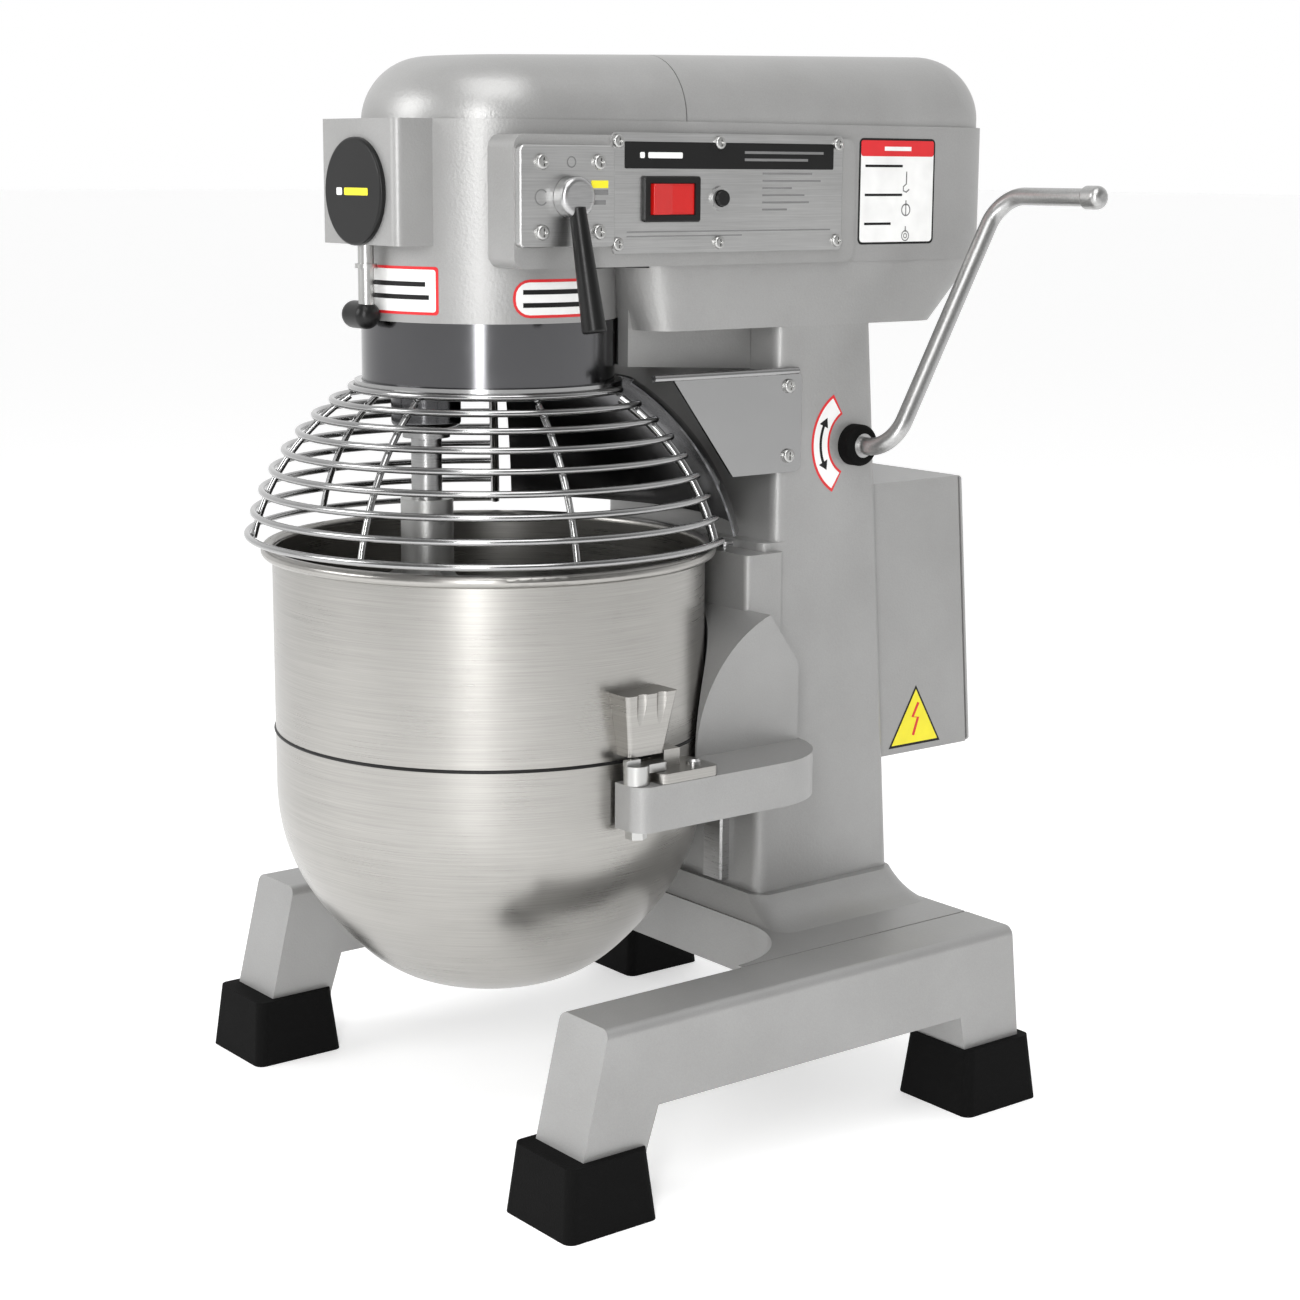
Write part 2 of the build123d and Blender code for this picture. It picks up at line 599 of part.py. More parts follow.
LUG_LOW = ARM_TOP + GAP
with BuildPart() as lugs:
    with BuildSketch(level(LUG_LOW)):                    # flange that rests on the yoke's arm
        with Locations((ARM_X - 4, 39)):
            RectangleRounded(36, 50, 5)
        with Locations((ARM_X, 52)):
            Circle(5 + FIT, mode=Mode.SUBTRACT)
    extrude(amount=7)
    with BuildSketch(level(LUG_LOW + 7)):                # web up to the hand block
        with Locations((ARM_X - 12, 36)):
            Rectangle(16, 14)
    extrude(amount=12)
    for height, width, depth in ((LUG_LOW + 18, 18, 30), (LUG_LOW + 62, 24, 44)):
        with BuildSketch(level(height)):
            with Locations((ARM_X - 16 + width / 2 - 4, 13)):
                RectangleRounded(width, depth, 3)
    loft()
    for y in (4, 21):                                    # finger flutes on the outer face
        with BuildSketch(level(LUG_LOW + 14)):
            with Locations((ARM_X + 6, y)):
                Circle(5)
        extrude(amount=60, mode=Mode.SUBTRACT)
    mirror(about=side(0))
    add(bowl_outside, mode=Mode.SUBTRACT)
save(lugs.part, "bowl_lugs")

with BuildPart() as yoke:
    with BuildSketch(level(SLIDE_LOW)):                  # carriage: wraps the column's front edges
        with Locations((0, 168)):
            RectangleRounded(2 * YOKE_HALF, 36, 5)
    extrude(amount=SLIDE_TOP - SLIDE_LOW)
    with BuildSketch(level(ARM_LOW)):                    # arms: a U round the bowl
        with Locations((126, 124), (-126, 124)):
            Circle(60)
        with Locations((174, 6), (-174, 6)):
            Circle(12)
        make_hull()
    extrude(amount=ARM_TOP - ARM_LOW)
    with BuildSketch(side(-136)):                        # webs that sweep up to the carriage
        with BuildLine():
            RadiusArc((152, 378), (84, ARM_TOP - 2), -104)
            Polyline((84, ARM_TOP - 2), (180, ARM_TOP - 2), (180, 340), (152, 378))
        make_face()
    extrude(amount=272)
    with BuildSketch(level(SLIDE_LOW)):                  # bay for the bowl, open to the front
        Circle(BOWL_CLEAR)
        with Locations((0, -60)):
            Rectangle(2 * BOWL_CLEAR, 120)
    extrude(amount=SLIDE_TOP, mode=Mode.SUBTRACT)
    with BuildSketch(level(SLIDE_LOW)):                  # room for the column and its ways
        with Locations((0, COLUMN_FRONT - GAP + 30)):
            Rectangle(2 * (COLUMN_HALF + GAP), 60)
        with Locations((58, 190 - 26.3), (-58, 190 - 26.3)):
            Rectangle(22 + 2 * GAP, 40 - 0.6, align=(Align.CENTER, Align.MIN))
    extrude(amount=SLIDE_TOP, mode=Mode.SUBTRACT)
    with BuildSketch(level(ARM_LOW)):                    # clamp pin bores
        with Locations((ARM_X, CLAMP_Y), (-ARM_X, CLAMP_Y)):
            Circle(4 + FIT)
    extrude(amount=40, mode=Mode.SUBTRACT)
    with BuildSketch(level(ARM_TOP - 14)):               # blind holes of the locating pins
        with Locations((ARM_X, 52), (-ARM_X, 52)):
            Circle(5)
    extrude(amount=14, mode=Mode.SUBTRACT)
    with BuildSketch(front(150)):                        # two holes for the rack's bracket bolts
        with Locations((0, 300), (0, 380)):
            Circle(4)
    extrude(amount=-30, mode=Mode.SUBTRACT)
save(yoke.part, "bowl_yoke")

with BuildPart() as locators:
    with BuildSketch(level(ARM_TOP - 14)):
        with Locations((ARM_X, 52), (-ARM_X, 52)):
            Circle(5)
    extrude(amount=25)
    chamfer(locators.edges().group_by(Axis.Z)[-1], 1.5)
save(locators.part, "bowl_locating_pins")

for hand, name in ((1, "right"), (-1, "left")):
    place = (hand * ARM_X, CLAMP_Y)
    with BuildPart() as pin:
        with BuildSketch(level(ARM_LOW - 6)):
            with Locations(place):
                RegularPolygon(7.5, 6)
        extrude(amount=6 - GAP)
        with BuildSketch(level(ARM_LOW - GAP)):
            with Locations(place):
                Circle(4)
        extrude(amount=ARM_TOP - ARM_LOW + 2 * GAP)
        with BuildSketch(level(ARM_TOP + GAP)):
            with Locations(place):
                Circle(9)
        extrude(amount=7.4)
        with BuildSketch(level(ARM_TOP + GAP + 7.4)):    # hook that turns over the lug's flange
            with Locations(place):
                Circle(9)
            with Locations((hand * ARM_X, CLAMP_Y + 11)):
                RectangleRounded(11, 26, 4)
        extrude(amount=6)
        with BuildSketch(level(ARM_TOP + GAP + 13.4)):   # thumb tab
            with Locations((hand * ARM_X, CLAMP_Y - 4)):
                Rectangle(4, 12)
        extrude(amount=4)
    save(pin.part, f"bowl_clamp_{name}")

# ---------------------------------------------------------------- bowl lift
RACK_PITCH_Y = LIFT_Y - LIFT_R
TOOTH = math.pi * MODULE
with BuildPart() as rack:
    with BuildSketch(side(-8)):
        with Locations((RACK_PITCH_Y - 8.5 - 1.15 * MODULE + 2.5, 478)):
            Rectangle(12, 216)
        with Locations(*[(RACK_PITCH_Y - 0.1 * MODULE, LIFT_Z + (i + 0.5) * TOOTH) for i in range(-2, 12)]):
            Trapezoid(2.05 * MODULE, 2.1 * MODULE, 70, rotation=-90)
    extrude(amount=16)
    with BuildSketch(side(-8)):
        with Locations((187.5, 340)):
            Rectangle(31, 120)
    extrude(amount=16)
    with BuildSketch(front(171.7)):
        with Locations((0, 300), (0, 380)):
            Circle(3.2)
    extrude(amount=-16, mode=Mode.SUBTRACT)
    with BuildSketch(level(200)):
        with Locations((0, 160)):
            Rectangle(60, 23.4)
    extrude(amount=300, mode=Mode.SUBTRACT)
save(rack.part, "lift_rack")

with BuildPart() as rack_bolts:
    with BuildSketch(front(170)):
        with Locations((0, 300), (0, 380)):
            Circle(3.2)
    extrude(amount=-16)
    with BuildSketch(front(170)):
        with Locations((0, 300), (0, 380)):
            Circle(3.9)
    extrude(amount=8)
save(rack_bolts.part, "rack_bolts")

SECTOR_TEETH = 13
with BuildPart() as sector:
    pitch_step = math.degrees(TOOTH / LIFT_R)
    with BuildSketch(side(-7)):
        with Locations((LIFT_Y, LIFT_Z)):
            Circle(LIFT_R - 1.15 * MODULE)
            with PolarLocations(LIFT_R - 0.2 * MODULE, SECTOR_TEETH, start_angle=180 + pitch_step,
                                angular_range=-pitch_step * SECTOR_TEETH):
                Trapezoid(2.05 * MODULE, 2.1 * MODULE, 70, rotation=-90)
        with BuildLine():                                # only a wedge of the wheel is kept
            Polyline((LIFT_Y, LIFT_Z), (LIFT_Y + 21, LIFT_Z + 99), (LIFT_Y + 99, LIFT_Z + 99),
                     (LIFT_Y + 99, LIFT_Z - 99), (LIFT_Y - 99, LIFT_Z - 99), (LIFT_Y - 99, LIFT_Z - 21),
                     close=True)
        make_face(mode=Mode.SUBTRACT)
        with Locations((LIFT_Y, LIFT_Z)):
            Circle(15)
            Circle(9, mode=Mode.SUBTRACT)
    extrude(amount=14)
save(sector.part, "lift_sector")

BUSH_OUT = 12.0                  # how far the rubber bush stands out of the column
with BuildPart() as lift_shaft:
    with BuildSketch(side(-COLUMN_HALF + WALL + 2)):
        with Locations((LIFT_Y, LIFT_Z)):
            Circle(9)
    extrude(amount=2 * COLUMN_HALF - WALL - 2 + BUSH_OUT)
save(lift_shaft.part, "lift_shaft")

with BuildPart() as bush:
    with BuildSketch(side(COLUMN_HALF - WALL - 4)):
        with Locations((LIFT_Y, LIFT_Z)):
            Circle(15)
            Circle(9 + FIT, mode=Mode.SUBTRACT)
    extrude(amount=WALL + 4)
    with BuildSketch(side(COLUMN_HALF)):
        with Locations((LIFT_Y, LIFT_Z)):
            Circle(15.5)
            Circle(9 + FIT, mode=Mode.SUBTRACT)
    extrude(amount=BUSH_OUT)
    fillet(bush.edges().group_by(Axis.X)[-1].sort_by(SortBy.LENGTH)[-1], 4)
save(bush.part, "lift_bush")

lean = math.radians(LEVER_LEAN)
BEND = 24.0
rod_top = (LIFT_Y + LEVER_LONG * math.cos(lean), LIFT_Z + LEVER_LONG * math.sin(lean))
with BuildPart() as rod:
    with BuildLine() as path:
        FilletPolyline((BOWL_X + COLUMN_HALF + BUSH_OUT, BOWL_Y + LIFT_Y, LIFT_Z),
                       (BOWL_X + ROD_X, BOWL_Y + LIFT_Y, LIFT_Z),
                       (BOWL_X + ROD_X, BOWL_Y + rod_top[0], rod_top[1]),
                       (BOWL_X + GRIP_END, BOWL_Y + rod_top[0], rod_top[1]), radius=BEND)
    with BuildSketch(Plane(origin=path.line @ 0, z_dir=path.line % 0)):
        Circle(ROD_R)
    sweep()
save(rod.part, "lift_lever_rod")

with BuildPart() as cap:
    with BuildSketch(side(GRIP_END - 10)):
        with Locations(rod_top):
            Circle(8.5)
    extrude(amount=17)
    fillet(cap.edges().group_by(Axis.X)[-1], 6)
    fillet(cap.edges().group_by(Axis.X)[0], 2)
    add(rod.part, mode=Mode.SUBTRACT)
save(cap.part, "lift_lever_cap")

# ---------------------------------------------------------------- planetary drive
throw = (PLANET * math.cos(math.radians(PLANET_ANGLE)), PLANET * math.sin(math.radians(PLANET_ANGLE)))
PLANET_LOW = 572.0               # underside of the planet gear
GEAR_THICK = 12.0

with BuildPart() as ring_gear:
    ring_pitch = MODULE * RING_TEETH / 2
    with BuildSketch(level(PLANET_LOW)):
        Circle(DRUM_R - 7.2)
        Circle(ring_pitch + 1.15 * MODULE, mode=Mode.SUBTRACT)
        with PolarLocations(ring_pitch + 0.2 * MODULE, RING_TEETH,
                            start_angle=PLANET_ANGLE + 180 / RING_TEETH):
            Trapezoid(2.05 * MODULE, 2.1 * MODULE, 70, rotation=90)
    extrude(amount=GEAR_THICK)
save(ring_gear.part, "ring_gear")

with BuildPart() as carrier:
    with BuildSketch(level(544)):
        Circle(76)
    extrude(amount=22)
    fillet(carrier.edges().group_by(Axis.Z)[0], 5)
    with BuildSketch(level(512)):
        with Locations(throw):
            Circle(25)
    extrude(amount=40)
    fillet(carrier.edges().group_by(Axis.Z)[0], 4)
    with BuildSketch(level(500)):
        with Locations(throw):
            Circle(11 + FIT)
    extrude(amount=80, mode=Mode.SUBTRACT)
    with BuildSketch(level(540)):
        Circle(12)
    extrude(amount=40, mode=Mode.SUBTRACT)
save(carrier.part, "planet_carrier")

with BuildPart() as main_shaft:
    with BuildSketch(level(544)):
        Circle(12)
    extrude(amount=722 - 544)
    with BuildSketch(front(0)):                          # bevel gear that drives the front hub
        with BuildLine():
            Polyline((11, HUB_Z - 22), (20, HUB_Z - 22), (20, HUB_Z - 20), (13, HUB_Z - 13),
                     (11, HUB_Z - 13), close=True)
        make_face()
    revolve(axis=AXIS)
save(main_shaft.part, "main_shaft")

with BuildPart() as main_gear:
    with BuildSketch(level(700)):
        gear_sketch(MAIN_TEETH, 12, 90)
    extrude(amount=GEAR_THICK)
save(main_gear.part, "main_gear")

hub_axis = Axis((BOWL_X, BOWL_Y, HUB_Z), (0, -1, 0))
with BuildPart() as hub_shaft:
    with BuildSketch(side(0)):
        with BuildLine():
            Polyline((-13.6, HUB_Z), (-13.6, HUB_Z - 13), (-20.4, HUB_Z - 19.8), (-24, HUB_Z - 19.8),
                     (-24, HUB_Z - 9), (-94, HUB_Z - 9), (-94, HUB_Z), close=True)
        make_face()
    revolve(axis=hub_axis)
    with BuildSketch(front(-95)):
        with Locations((0, HUB_Z)):
            Rectangle(9.5, 9.5, rotation=45)
    extrude(amount=-26, mode=Mode.SUBTRACT)
save(hub_shaft.part, "hub_drive_shaft")

with BuildPart() as bearings:
    with BuildSketch(front(-62)):
        with Locations((0, HUB_Z)):
            Circle(HUB_BORE)
            Circle(9 + FIT, mode=Mode.SUBTRACT)
    extrude(amount=22)
    with BuildSketch(level(612)):
        Circle(28)
        Circle(12 + FIT, mode=Mode.SUBTRACT)
    extrude(amount=16)
save(bearings.part, "shaft_bearings")

with BuildPart() as agitator:
    with BuildSketch(level(424)):
        with Locations(throw):
            Circle(11)
    extrude(amount=596 - 424)
    with BuildSketch(level(504)):
        with Locations(throw):
            Circle(17)
    extrude(amount=7.5)
    with BuildSketch(Plane((BOWL_X + throw[0] - 19, BOWL_Y + throw[1], 446), z_dir=(1, 0, 0))):
        Circle(3.5)
    extrude(amount=38)
    with BuildSketch(Plane((BOWL_X + throw[0], BOWL_Y + throw[1], PLANET_LOW))):
        gear_sketch(PLANET_TEETH, 0, PLANET_ANGLE)
    extrude(amount=GEAR_THICK)
save(agitator.part, "agitator_shaft")

BEATER = 98.0                    # half the width of the flat beater
beater_face = Plane((BOWL_X + throw[0], BOWL_Y + throw[1] + 6, 0), x_dir=(1, 0, 0), z_dir=(0, -1, 0))
with BuildPart() as beater:
    with BuildSketch(beater_face):
        with BuildLine():
            Polyline((-BEATER, 372), (-BEATER, 262), (-BEATER * 0.84, 200), (-BEATER * 0.55, 160),
                     (0, 138), (BEATER * 0.42, 148), (BEATER * 0.84, 200), (BEATER, 262), (BEATER, 372),
                     (20, 412), (-20, 412), close=True)
        outline = make_face()
        offset(outline, amount=-15, kind=Kind.INTERSECTION, mode=Mode.SUBTRACT)
        with BuildLine():
            Polyline((-8, 405), (8, 405), (8, 145), (-8, 145), close=True)
        make_face()
        for z in (210, 262, 314):
            for hand in (1, -1):
                with BuildLine():
                    Polyline((0, z), (hand * (BEATER - 8), z + 34), (hand * (BEATER - 8), z + 44), (0,
                                                                                                    z + 10),
                             close=True)
                make_face()
    extrude(amount=12)
    fillet(beater.edges().filter_by(Axis.Y), 3)
    with BuildSketch(level(396)):
        with Locations(throw):
            Circle(19)
    extrude(amount=64)
    with BuildSketch(level(424)):
        with Locations(throw):
            Circle(11)
    extrude(amount=60, mode=Mode.SUBTRACT)
    add(agitator.part, mode=Mode.SUBTRACT)
save(beater.part, "flat_beater")

# ---------------------------------------------------------------- gear case and motor
with BuildPart() as layshaft:
    with BuildSketch(level(646)):
        with Locations((0, LAY_Y)):
            Circle(9)
    extrude(amount=722 - 646)
    with BuildSketch(Plane((BOWL_X, BOWL_Y + LAY_Y, 700))):
        gear_sketch(LAY_SMALL_TEETH, 0, 270 + 180 / LAY_SMALL_TEETH)
    extrude(amount=GEAR_THICK)
save(layshaft.part, "layshaft")

with BuildPart() as lay_large:
    with BuildSketch(Plane((BOWL_X, BOWL_Y + LAY_Y, 674))):
        gear_sketch(LAY_LARGE_TEETH, 9, 90)
    extrude(amount=GEAR_THICK)
save(lay_large.part, "layshaft_large_gear")

with BuildPart() as lay_bridge:
    with BuildSketch(level(640)):
        with Locations((0, 96)):
            Rectangle(196, 60)
        with Locations((0, LAY_Y)):
            Circle(9 + FIT, mode=Mode.SUBTRACT)
    extrude(amount=8)
    add(head.part, mode=Mode.SUBTRACT)
save(lay_bridge.part, "layshaft_bridge")

with BuildPart() as case_plate:
    with BuildSketch(level(716)):
        head_plan(WALL + 0.2)
        with Locations((0, 320)):
            Rectangle(260, 240, mode=Mode.SUBTRACT)
        Circle(12 + FIT, mode=Mode.SUBTRACT)
        with Locations((0, LAY_Y)):
            Circle(9 + FIT, mode=Mode.SUBTRACT)
    extrude(amount=5)
    add(head.part, mode=Mode.SUBTRACT)
save(case_plate.part, "gear_case_plate")

with BuildPart() as rotor:
    with BuildSketch(level(596)):
        with Locations((0, MOTOR_Y)):
            Circle(8)
    extrude(amount=690 - 596)
    with BuildSketch(level(606)):
        with Locations((0, MOTOR_Y)):
            Circle(33)
    extrude(amount=46)
    with BuildSketch(Plane((BOWL_X, BOWL_Y + MOTOR_Y, 674))):
        gear_sketch(MOTOR_TEETH, 0, 270 + 180 / MOTOR_TEETH)
    extrude(amount=GEAR_THICK)
save(rotor.part, "motor_rotor")

with BuildPart() as stator:
    with BuildSketch(level(606)):
        with Locations((0, MOTOR_Y)):
            Circle(54)
            Circle(34.5, mode=Mode.SUBTRACT)
    extrude(amount=46)
save(stator.part, "motor_stator")

with BuildPart() as motor_case:
    with BuildSketch(level(COLUMN_TOP + WALL)):
        with Locations((0, MOTOR_Y)):
            RectangleRounded(184, 130, 8)
    extrude(amount=4)
    with BuildSketch(level(COLUMN_TOP + WALL)):
        with Locations((0, MOTOR_Y)):
            Circle(58)
    extrude(amount=74)
    with BuildSketch(level(596)):
        with Locations((0, MOTOR_Y)):
            Circle(54)
    extrude(amount=63, mode=Mode.SUBTRACT)
    with BuildSketch(level(640)):
        with Locations((0, MOTOR_Y)):
            Circle(8 + FIT)
    extrude(amount=60, mode=Mode.SUBTRACT)
save(motor_case.part, "motor_case")

# ---------------------------------------------------------------- electrical box on the column's back
BOX_LOW, BOX_TOP, BOX_HALF = 241.0, 458.0, 90.0
box_low_y, box_top_y = 302.2, 286.4
with BuildPart() as box:
    with BuildSketch(side(-BOX_HALF)):
        with BuildLine():
            Polyline((box_low_y, BOX_LOW), (405, BOX_LOW), (387, BOX_TOP), (box_top_y, BOX_TOP), close=True)
        make_face()
    extrude(amount=2 * BOX_HALF)
    fillet(box.edges().filter_by(lambda e: e.center().Y - BOWL_Y > 380), 3)
    with BuildSketch(side(2 - BOX_HALF)):
        with BuildLine():
            Polyline((box_low_y + 2, BOX_LOW + 2), (420, BOX_LOW + 2), (400, BOX_TOP - 2),
                     (box_top_y + 2, BOX_TOP - 2), close=True)
        make_face()
    extrude(amount=2 * (BOX_HALF - 2), mode=Mode.SUBTRACT)
    with BuildSketch(level(BOX_LOW - 1)):
        with Locations((0, 350)):
            Circle(8)
    extrude(amount=6, mode=Mode.SUBTRACT)
save(box.part, "electrical_box")

box_lean = math.degrees(math.atan2(18, BOX_TOP - BOX_LOW))
lid_plane = Plane((BOWL_X, BOWL_Y + (405 + 387) / 2, (BOX_LOW + BOX_TOP) / 2), x_dir=(-1, 0, 0),
                  z_dir=(0, math.cos(math.radians(box_lean)), math.sin(math.radians(box_lean))))
LID_SCREWS = [(x, z) for x in (-76, 76) for z in (-96, 96)]
lid_screws = screw_set(lid_plane.offset(2), LID_SCREWS, 4.2, 2.6, 2, 3)
with BuildPart() as lid:
    with BuildSketch(lid_plane):
        RectangleRounded(2 * BOX_HALF, 217, 3)
    extrude(amount=2)
    add(lid_screws, mode=Mode.SUBTRACT)
save(lid.part, "electrical_box_lid")
save(lid_screws, "electrical_box_screws")

with BuildPart() as gland:
    with BuildSketch(level(BOX_LOW - 20)):
        with Locations((0, 350)):
            Circle(9)
    extrude(amount=12)
    with BuildSketch(level(BOX_LOW - 8)):
        with Locations((0, 350)):
            RegularPolygon(12, 6)
    extrude(amount=8)
    with BuildSketch(level(BOX_LOW)):
        with Locations((0, 350)):
            Circle(8)
    extrude(amount=10)
    with BuildSketch(level(BOX_LOW - 21)):
        with Locations((0, 350)):
            Circle(4.5)
    extrude(amount=40, mode=Mode.SUBTRACT)
save(gland.part, "cable_gland")

with BuildPart() as contactor:
    with BuildSketch(side(-58)):
        with Locations((325, 360)):
            Rectangle(44, 74)
    extrude(amount=50)
    with BuildSketch(side(-50)):
        with Locations((352, 360)):
            Rectangle(12, 40)
    extrude(amount=34)
save(contactor.part, "motor_contactor")

with BuildPart() as terminals:
    with BuildSketch(side(14)):
        with Locations((322, 300)):
            Rectangle(30, 26)
    extrude(amount=60)
    with BuildSketch(level(305)):
        with Locations(*[(20 + 12 * i, 324) for i in range(5)]):
            Circle(3.6)
    extrude(amount=10, mode=Mode.SUBTRACT)
save(terminals.part, "terminal_block")
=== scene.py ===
# %% [markdown]
# # A commercial stand mixer
# The engineering model is loaded first, as a fixed frame: every casting, gear and screw is already in
# its place and in metres. This lesson gives those pieces their finishes, and adds the thin things that
# are quicker to make in Blender: the bowl's band, printed labels, panel marks and weld beads on the guard.

# %% Load the frame
import math
import bpy
import bmesh
from mathutils import Matrix, Vector


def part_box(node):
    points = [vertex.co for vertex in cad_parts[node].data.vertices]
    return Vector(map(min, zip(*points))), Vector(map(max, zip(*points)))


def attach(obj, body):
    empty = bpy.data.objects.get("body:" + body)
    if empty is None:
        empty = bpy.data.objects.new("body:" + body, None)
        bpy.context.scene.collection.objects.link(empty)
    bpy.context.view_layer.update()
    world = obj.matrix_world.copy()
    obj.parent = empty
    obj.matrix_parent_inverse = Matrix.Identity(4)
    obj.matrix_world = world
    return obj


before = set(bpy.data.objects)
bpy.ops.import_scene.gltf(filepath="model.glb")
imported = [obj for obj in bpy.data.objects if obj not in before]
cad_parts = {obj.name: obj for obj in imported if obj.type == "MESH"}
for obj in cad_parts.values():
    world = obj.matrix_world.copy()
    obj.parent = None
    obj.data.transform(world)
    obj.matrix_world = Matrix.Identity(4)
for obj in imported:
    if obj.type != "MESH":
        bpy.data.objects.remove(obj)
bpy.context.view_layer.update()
print("CAD nodes:", len(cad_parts))

# %% [markdown]
# Most of the machine was drawn round the bowl's axis, so one helper turns millimetres from that axis
# into metres in the frame. The axis is read from the bowl's own box.

# %% Millimetres from the bowl's axis
bowl_low, bowl_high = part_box("mixing_bowl")
AXIS_X = (bowl_low[0] + bowl_high[0]) / 2
AXIS_Y = (bowl_low[1] + bowl_high[1]) / 2


def mm(x, y, z):
    return Vector((AXIS_X + x / 1000, AXIS_Y + y / 1000, z / 1000))


print("bowl axis:", round(AXIS_X, 4), round(AXIS_Y, 4))

# %% [markdown]
# Surfaces that vary are written as sums. This class wraps one output socket, so that `grain * 0.5 + 0.2`
# builds the Math nodes by itself, in either order of its terms.


# %% Shader maths as expressions
class Signal:
    def __init__(self, tree, socket):
        self.tree, self.socket = tree, socket

    def math(self, operation, *values):
        node = self.tree.nodes.new("ShaderNodeMath")
        node.operation = operation
        for slot, value in zip(node.inputs, values):
            if isinstance(value, Signal):
                self.tree.links.new(value.socket, slot)
            else:
                slot.default_value = value
        return Signal(self.tree, node.outputs[0])

    def __add__(self, other): return self.math("ADD", self, other)
    def __radd__(self, other): return self.math("ADD", other, self)
    def __sub__(self, other): return self.math("SUBTRACT", self, other)
    def __rsub__(self, other): return self.math("SUBTRACT", other, self)
    def __mul__(self, other): return self.math("MULTIPLY", self, other)
    def __rmul__(self, other): return self.math("MULTIPLY", other, self)
    def clip(self, low, high): return self.math("MINIMUM", self.math("MAXIMUM", self, low), high)


# %% [markdown]
# A finish is a tree with one shader. `node` makes any node from its settings and inputs, so each finish
# below reads as a short recipe. What varies goes only to colour, roughness and bump.


# %% A finish and its nodes
class Finish:
    def __init__(self, name, colour, roughness, metallic=0.0, **fixed):
        self.material = bpy.data.materials.new(name)
        self.material.use_nodes = True
        self.material.diffuse_color = (*colour, 1)
        self.tree = self.material.node_tree
        self.shader = self.tree.nodes["Principled BSDF"]
        self.feed(Base_Color=(*colour, 1), Roughness=roughness, Metallic=metallic)
        for socket, value in fixed.items():
            self.shader.inputs[socket.replace("_", " ")].default_value = value

    def node(self, kind, settings=None, output=0, **inputs):
        made = self.tree.nodes.new(kind)
        for key, value in (settings or {}).items():
            setattr(made, key, value)
        for key, value in inputs.items():
            self.set(made.inputs[key.replace("_", " ")], value)
        return Signal(self.tree, made.outputs[output])

    def set(self, socket, value):
        if isinstance(value, Signal):
            self.tree.links.new(value.socket, socket)
        else:
            socket.default_value = value

    def feed(self, **inputs):
        for key, value in inputs.items():
            self.set(self.shader.inputs[key.replace("_", " ")], value)

    def place(self, scale=(1, 1, 1), centre=(0, 0, 0)):
        """Object coordinates, moved so that centre is the pattern's origin, then scaled."""
        shift = [-c * s for c, s in zip(centre, scale)]
        return self.node("ShaderNodeMapping", Vector=self.node("ShaderNodeTexCoord", output=3),
                         Location=shift, Scale=scale)

    def noise(self, size, detail=3.0, scale=(1, 1, 1), rough=0.5, centre=(0, 0, 0)):
        """Soft blotches about size metres across, 0 to 1."""
        return self.node("ShaderNodeTexNoise", Vector=self.place(scale, centre), Scale=1 / size,
                         Detail=detail, Roughness=rough)

    def mix(self, share, first, second):
        made = self.tree.nodes.new("ShaderNodeMix")
        made.data_type = "RGBA"
        for socket, value in ((made.inputs[0], share), (made.inputs[6], first), (made.inputs[7], second)):
            if isinstance(value, tuple) and len(value) == 3:
                value = (*value, 1)
            self.set(socket, value)
        return Signal(self.tree, made.outputs[2])

    def bump(self, height, distance, strength=1.0):
        self.feed(Normal=self.node("ShaderNodeBump", Height=height, Distance=distance, Strength=strength))


# %% [markdown]
# ## Painted castings
# The base, column, head and yoke are sand castings under a silver-grey enamel. The paint has metal flake
# in it, so it is made half metallic. Broad clouds of tone show where the spray was thicker, and a very fine
# bump gives the orange peel that softens every highlight.


# %% Silver casting paint
def casting_paint(name, tone, roughness=0.4):
    paint = Finish(name, (tone, tone * 0.992, tone * 0.975), roughness, 0.4)
    clouds = paint.noise(0.07, 4)
    peel = paint.noise(0.0022, 2)
    flake = paint.noise(0.0009, 1)
    darker = (tone * 0.9, tone * 0.895, tone * 0.88)
    lighter = (tone * 1.08, tone * 1.075, tone * 1.065)
    paint.feed(Base_Color=paint.mix((clouds - 0.3) * 1.6 + (flake - 0.5) * 0.8 + 0.2, darker, lighter),
               Roughness=roughness - 0.05 + clouds * 0.1)
    paint.bump(peel + clouds * 0.3, 0.00016)
    return paint.material


silver_paint = casting_paint("silver_casting_paint", 0.34)
cover_paint = casting_paint("silver_cover_paint", 0.36, 0.36)
print("paints:", silver_paint.name, cover_paint.name)

# %% [markdown]
# ## Metals
# Brushed steel is noise drawn out along the brushing: short across the lines and very long along them. The
# bowl was turned against the abrasive, so its lines lie level and run round it. Polished pieces keep only a
# faint haze of wiping marks.


# %% Brushed and polished metals
def brushed(name, colour, roughness, across=0.0009, along=(0.02, 0.02, 1), depth=0.00003, spread=0.14):
    metal = Finish(name, colour, roughness, 1.0)
    lines = metal.noise(across, 3, along, 0.6)
    haze = metal.noise(0.05, 3)
    share = (lines - 0.3) * 1.6 + (haze - 0.5) * 0.5
    metal.feed(Base_Color=metal.mix(share.clip(0, 1), tuple(c * 0.82 for c in colour),
                                    tuple(min(1, c * 1.12) for c in colour)),
               Roughness=(lines - 0.5) * spread + roughness + (haze - 0.5) * 0.08)
    metal.bump(lines, depth)
    return metal.material


def polished(name, colour, roughness):
    metal = Finish(name, colour, roughness, 1.0)
    haze = metal.noise(0.03, 4)
    marks = metal.noise(0.004, 2, (1, 1, 0.3))
    metal.feed(Base_Color=metal.mix(haze, tuple(c * 0.88 for c in colour), colour),
               Roughness=haze * 0.1 + marks * 0.05 + (roughness - 0.06))
    return metal.material


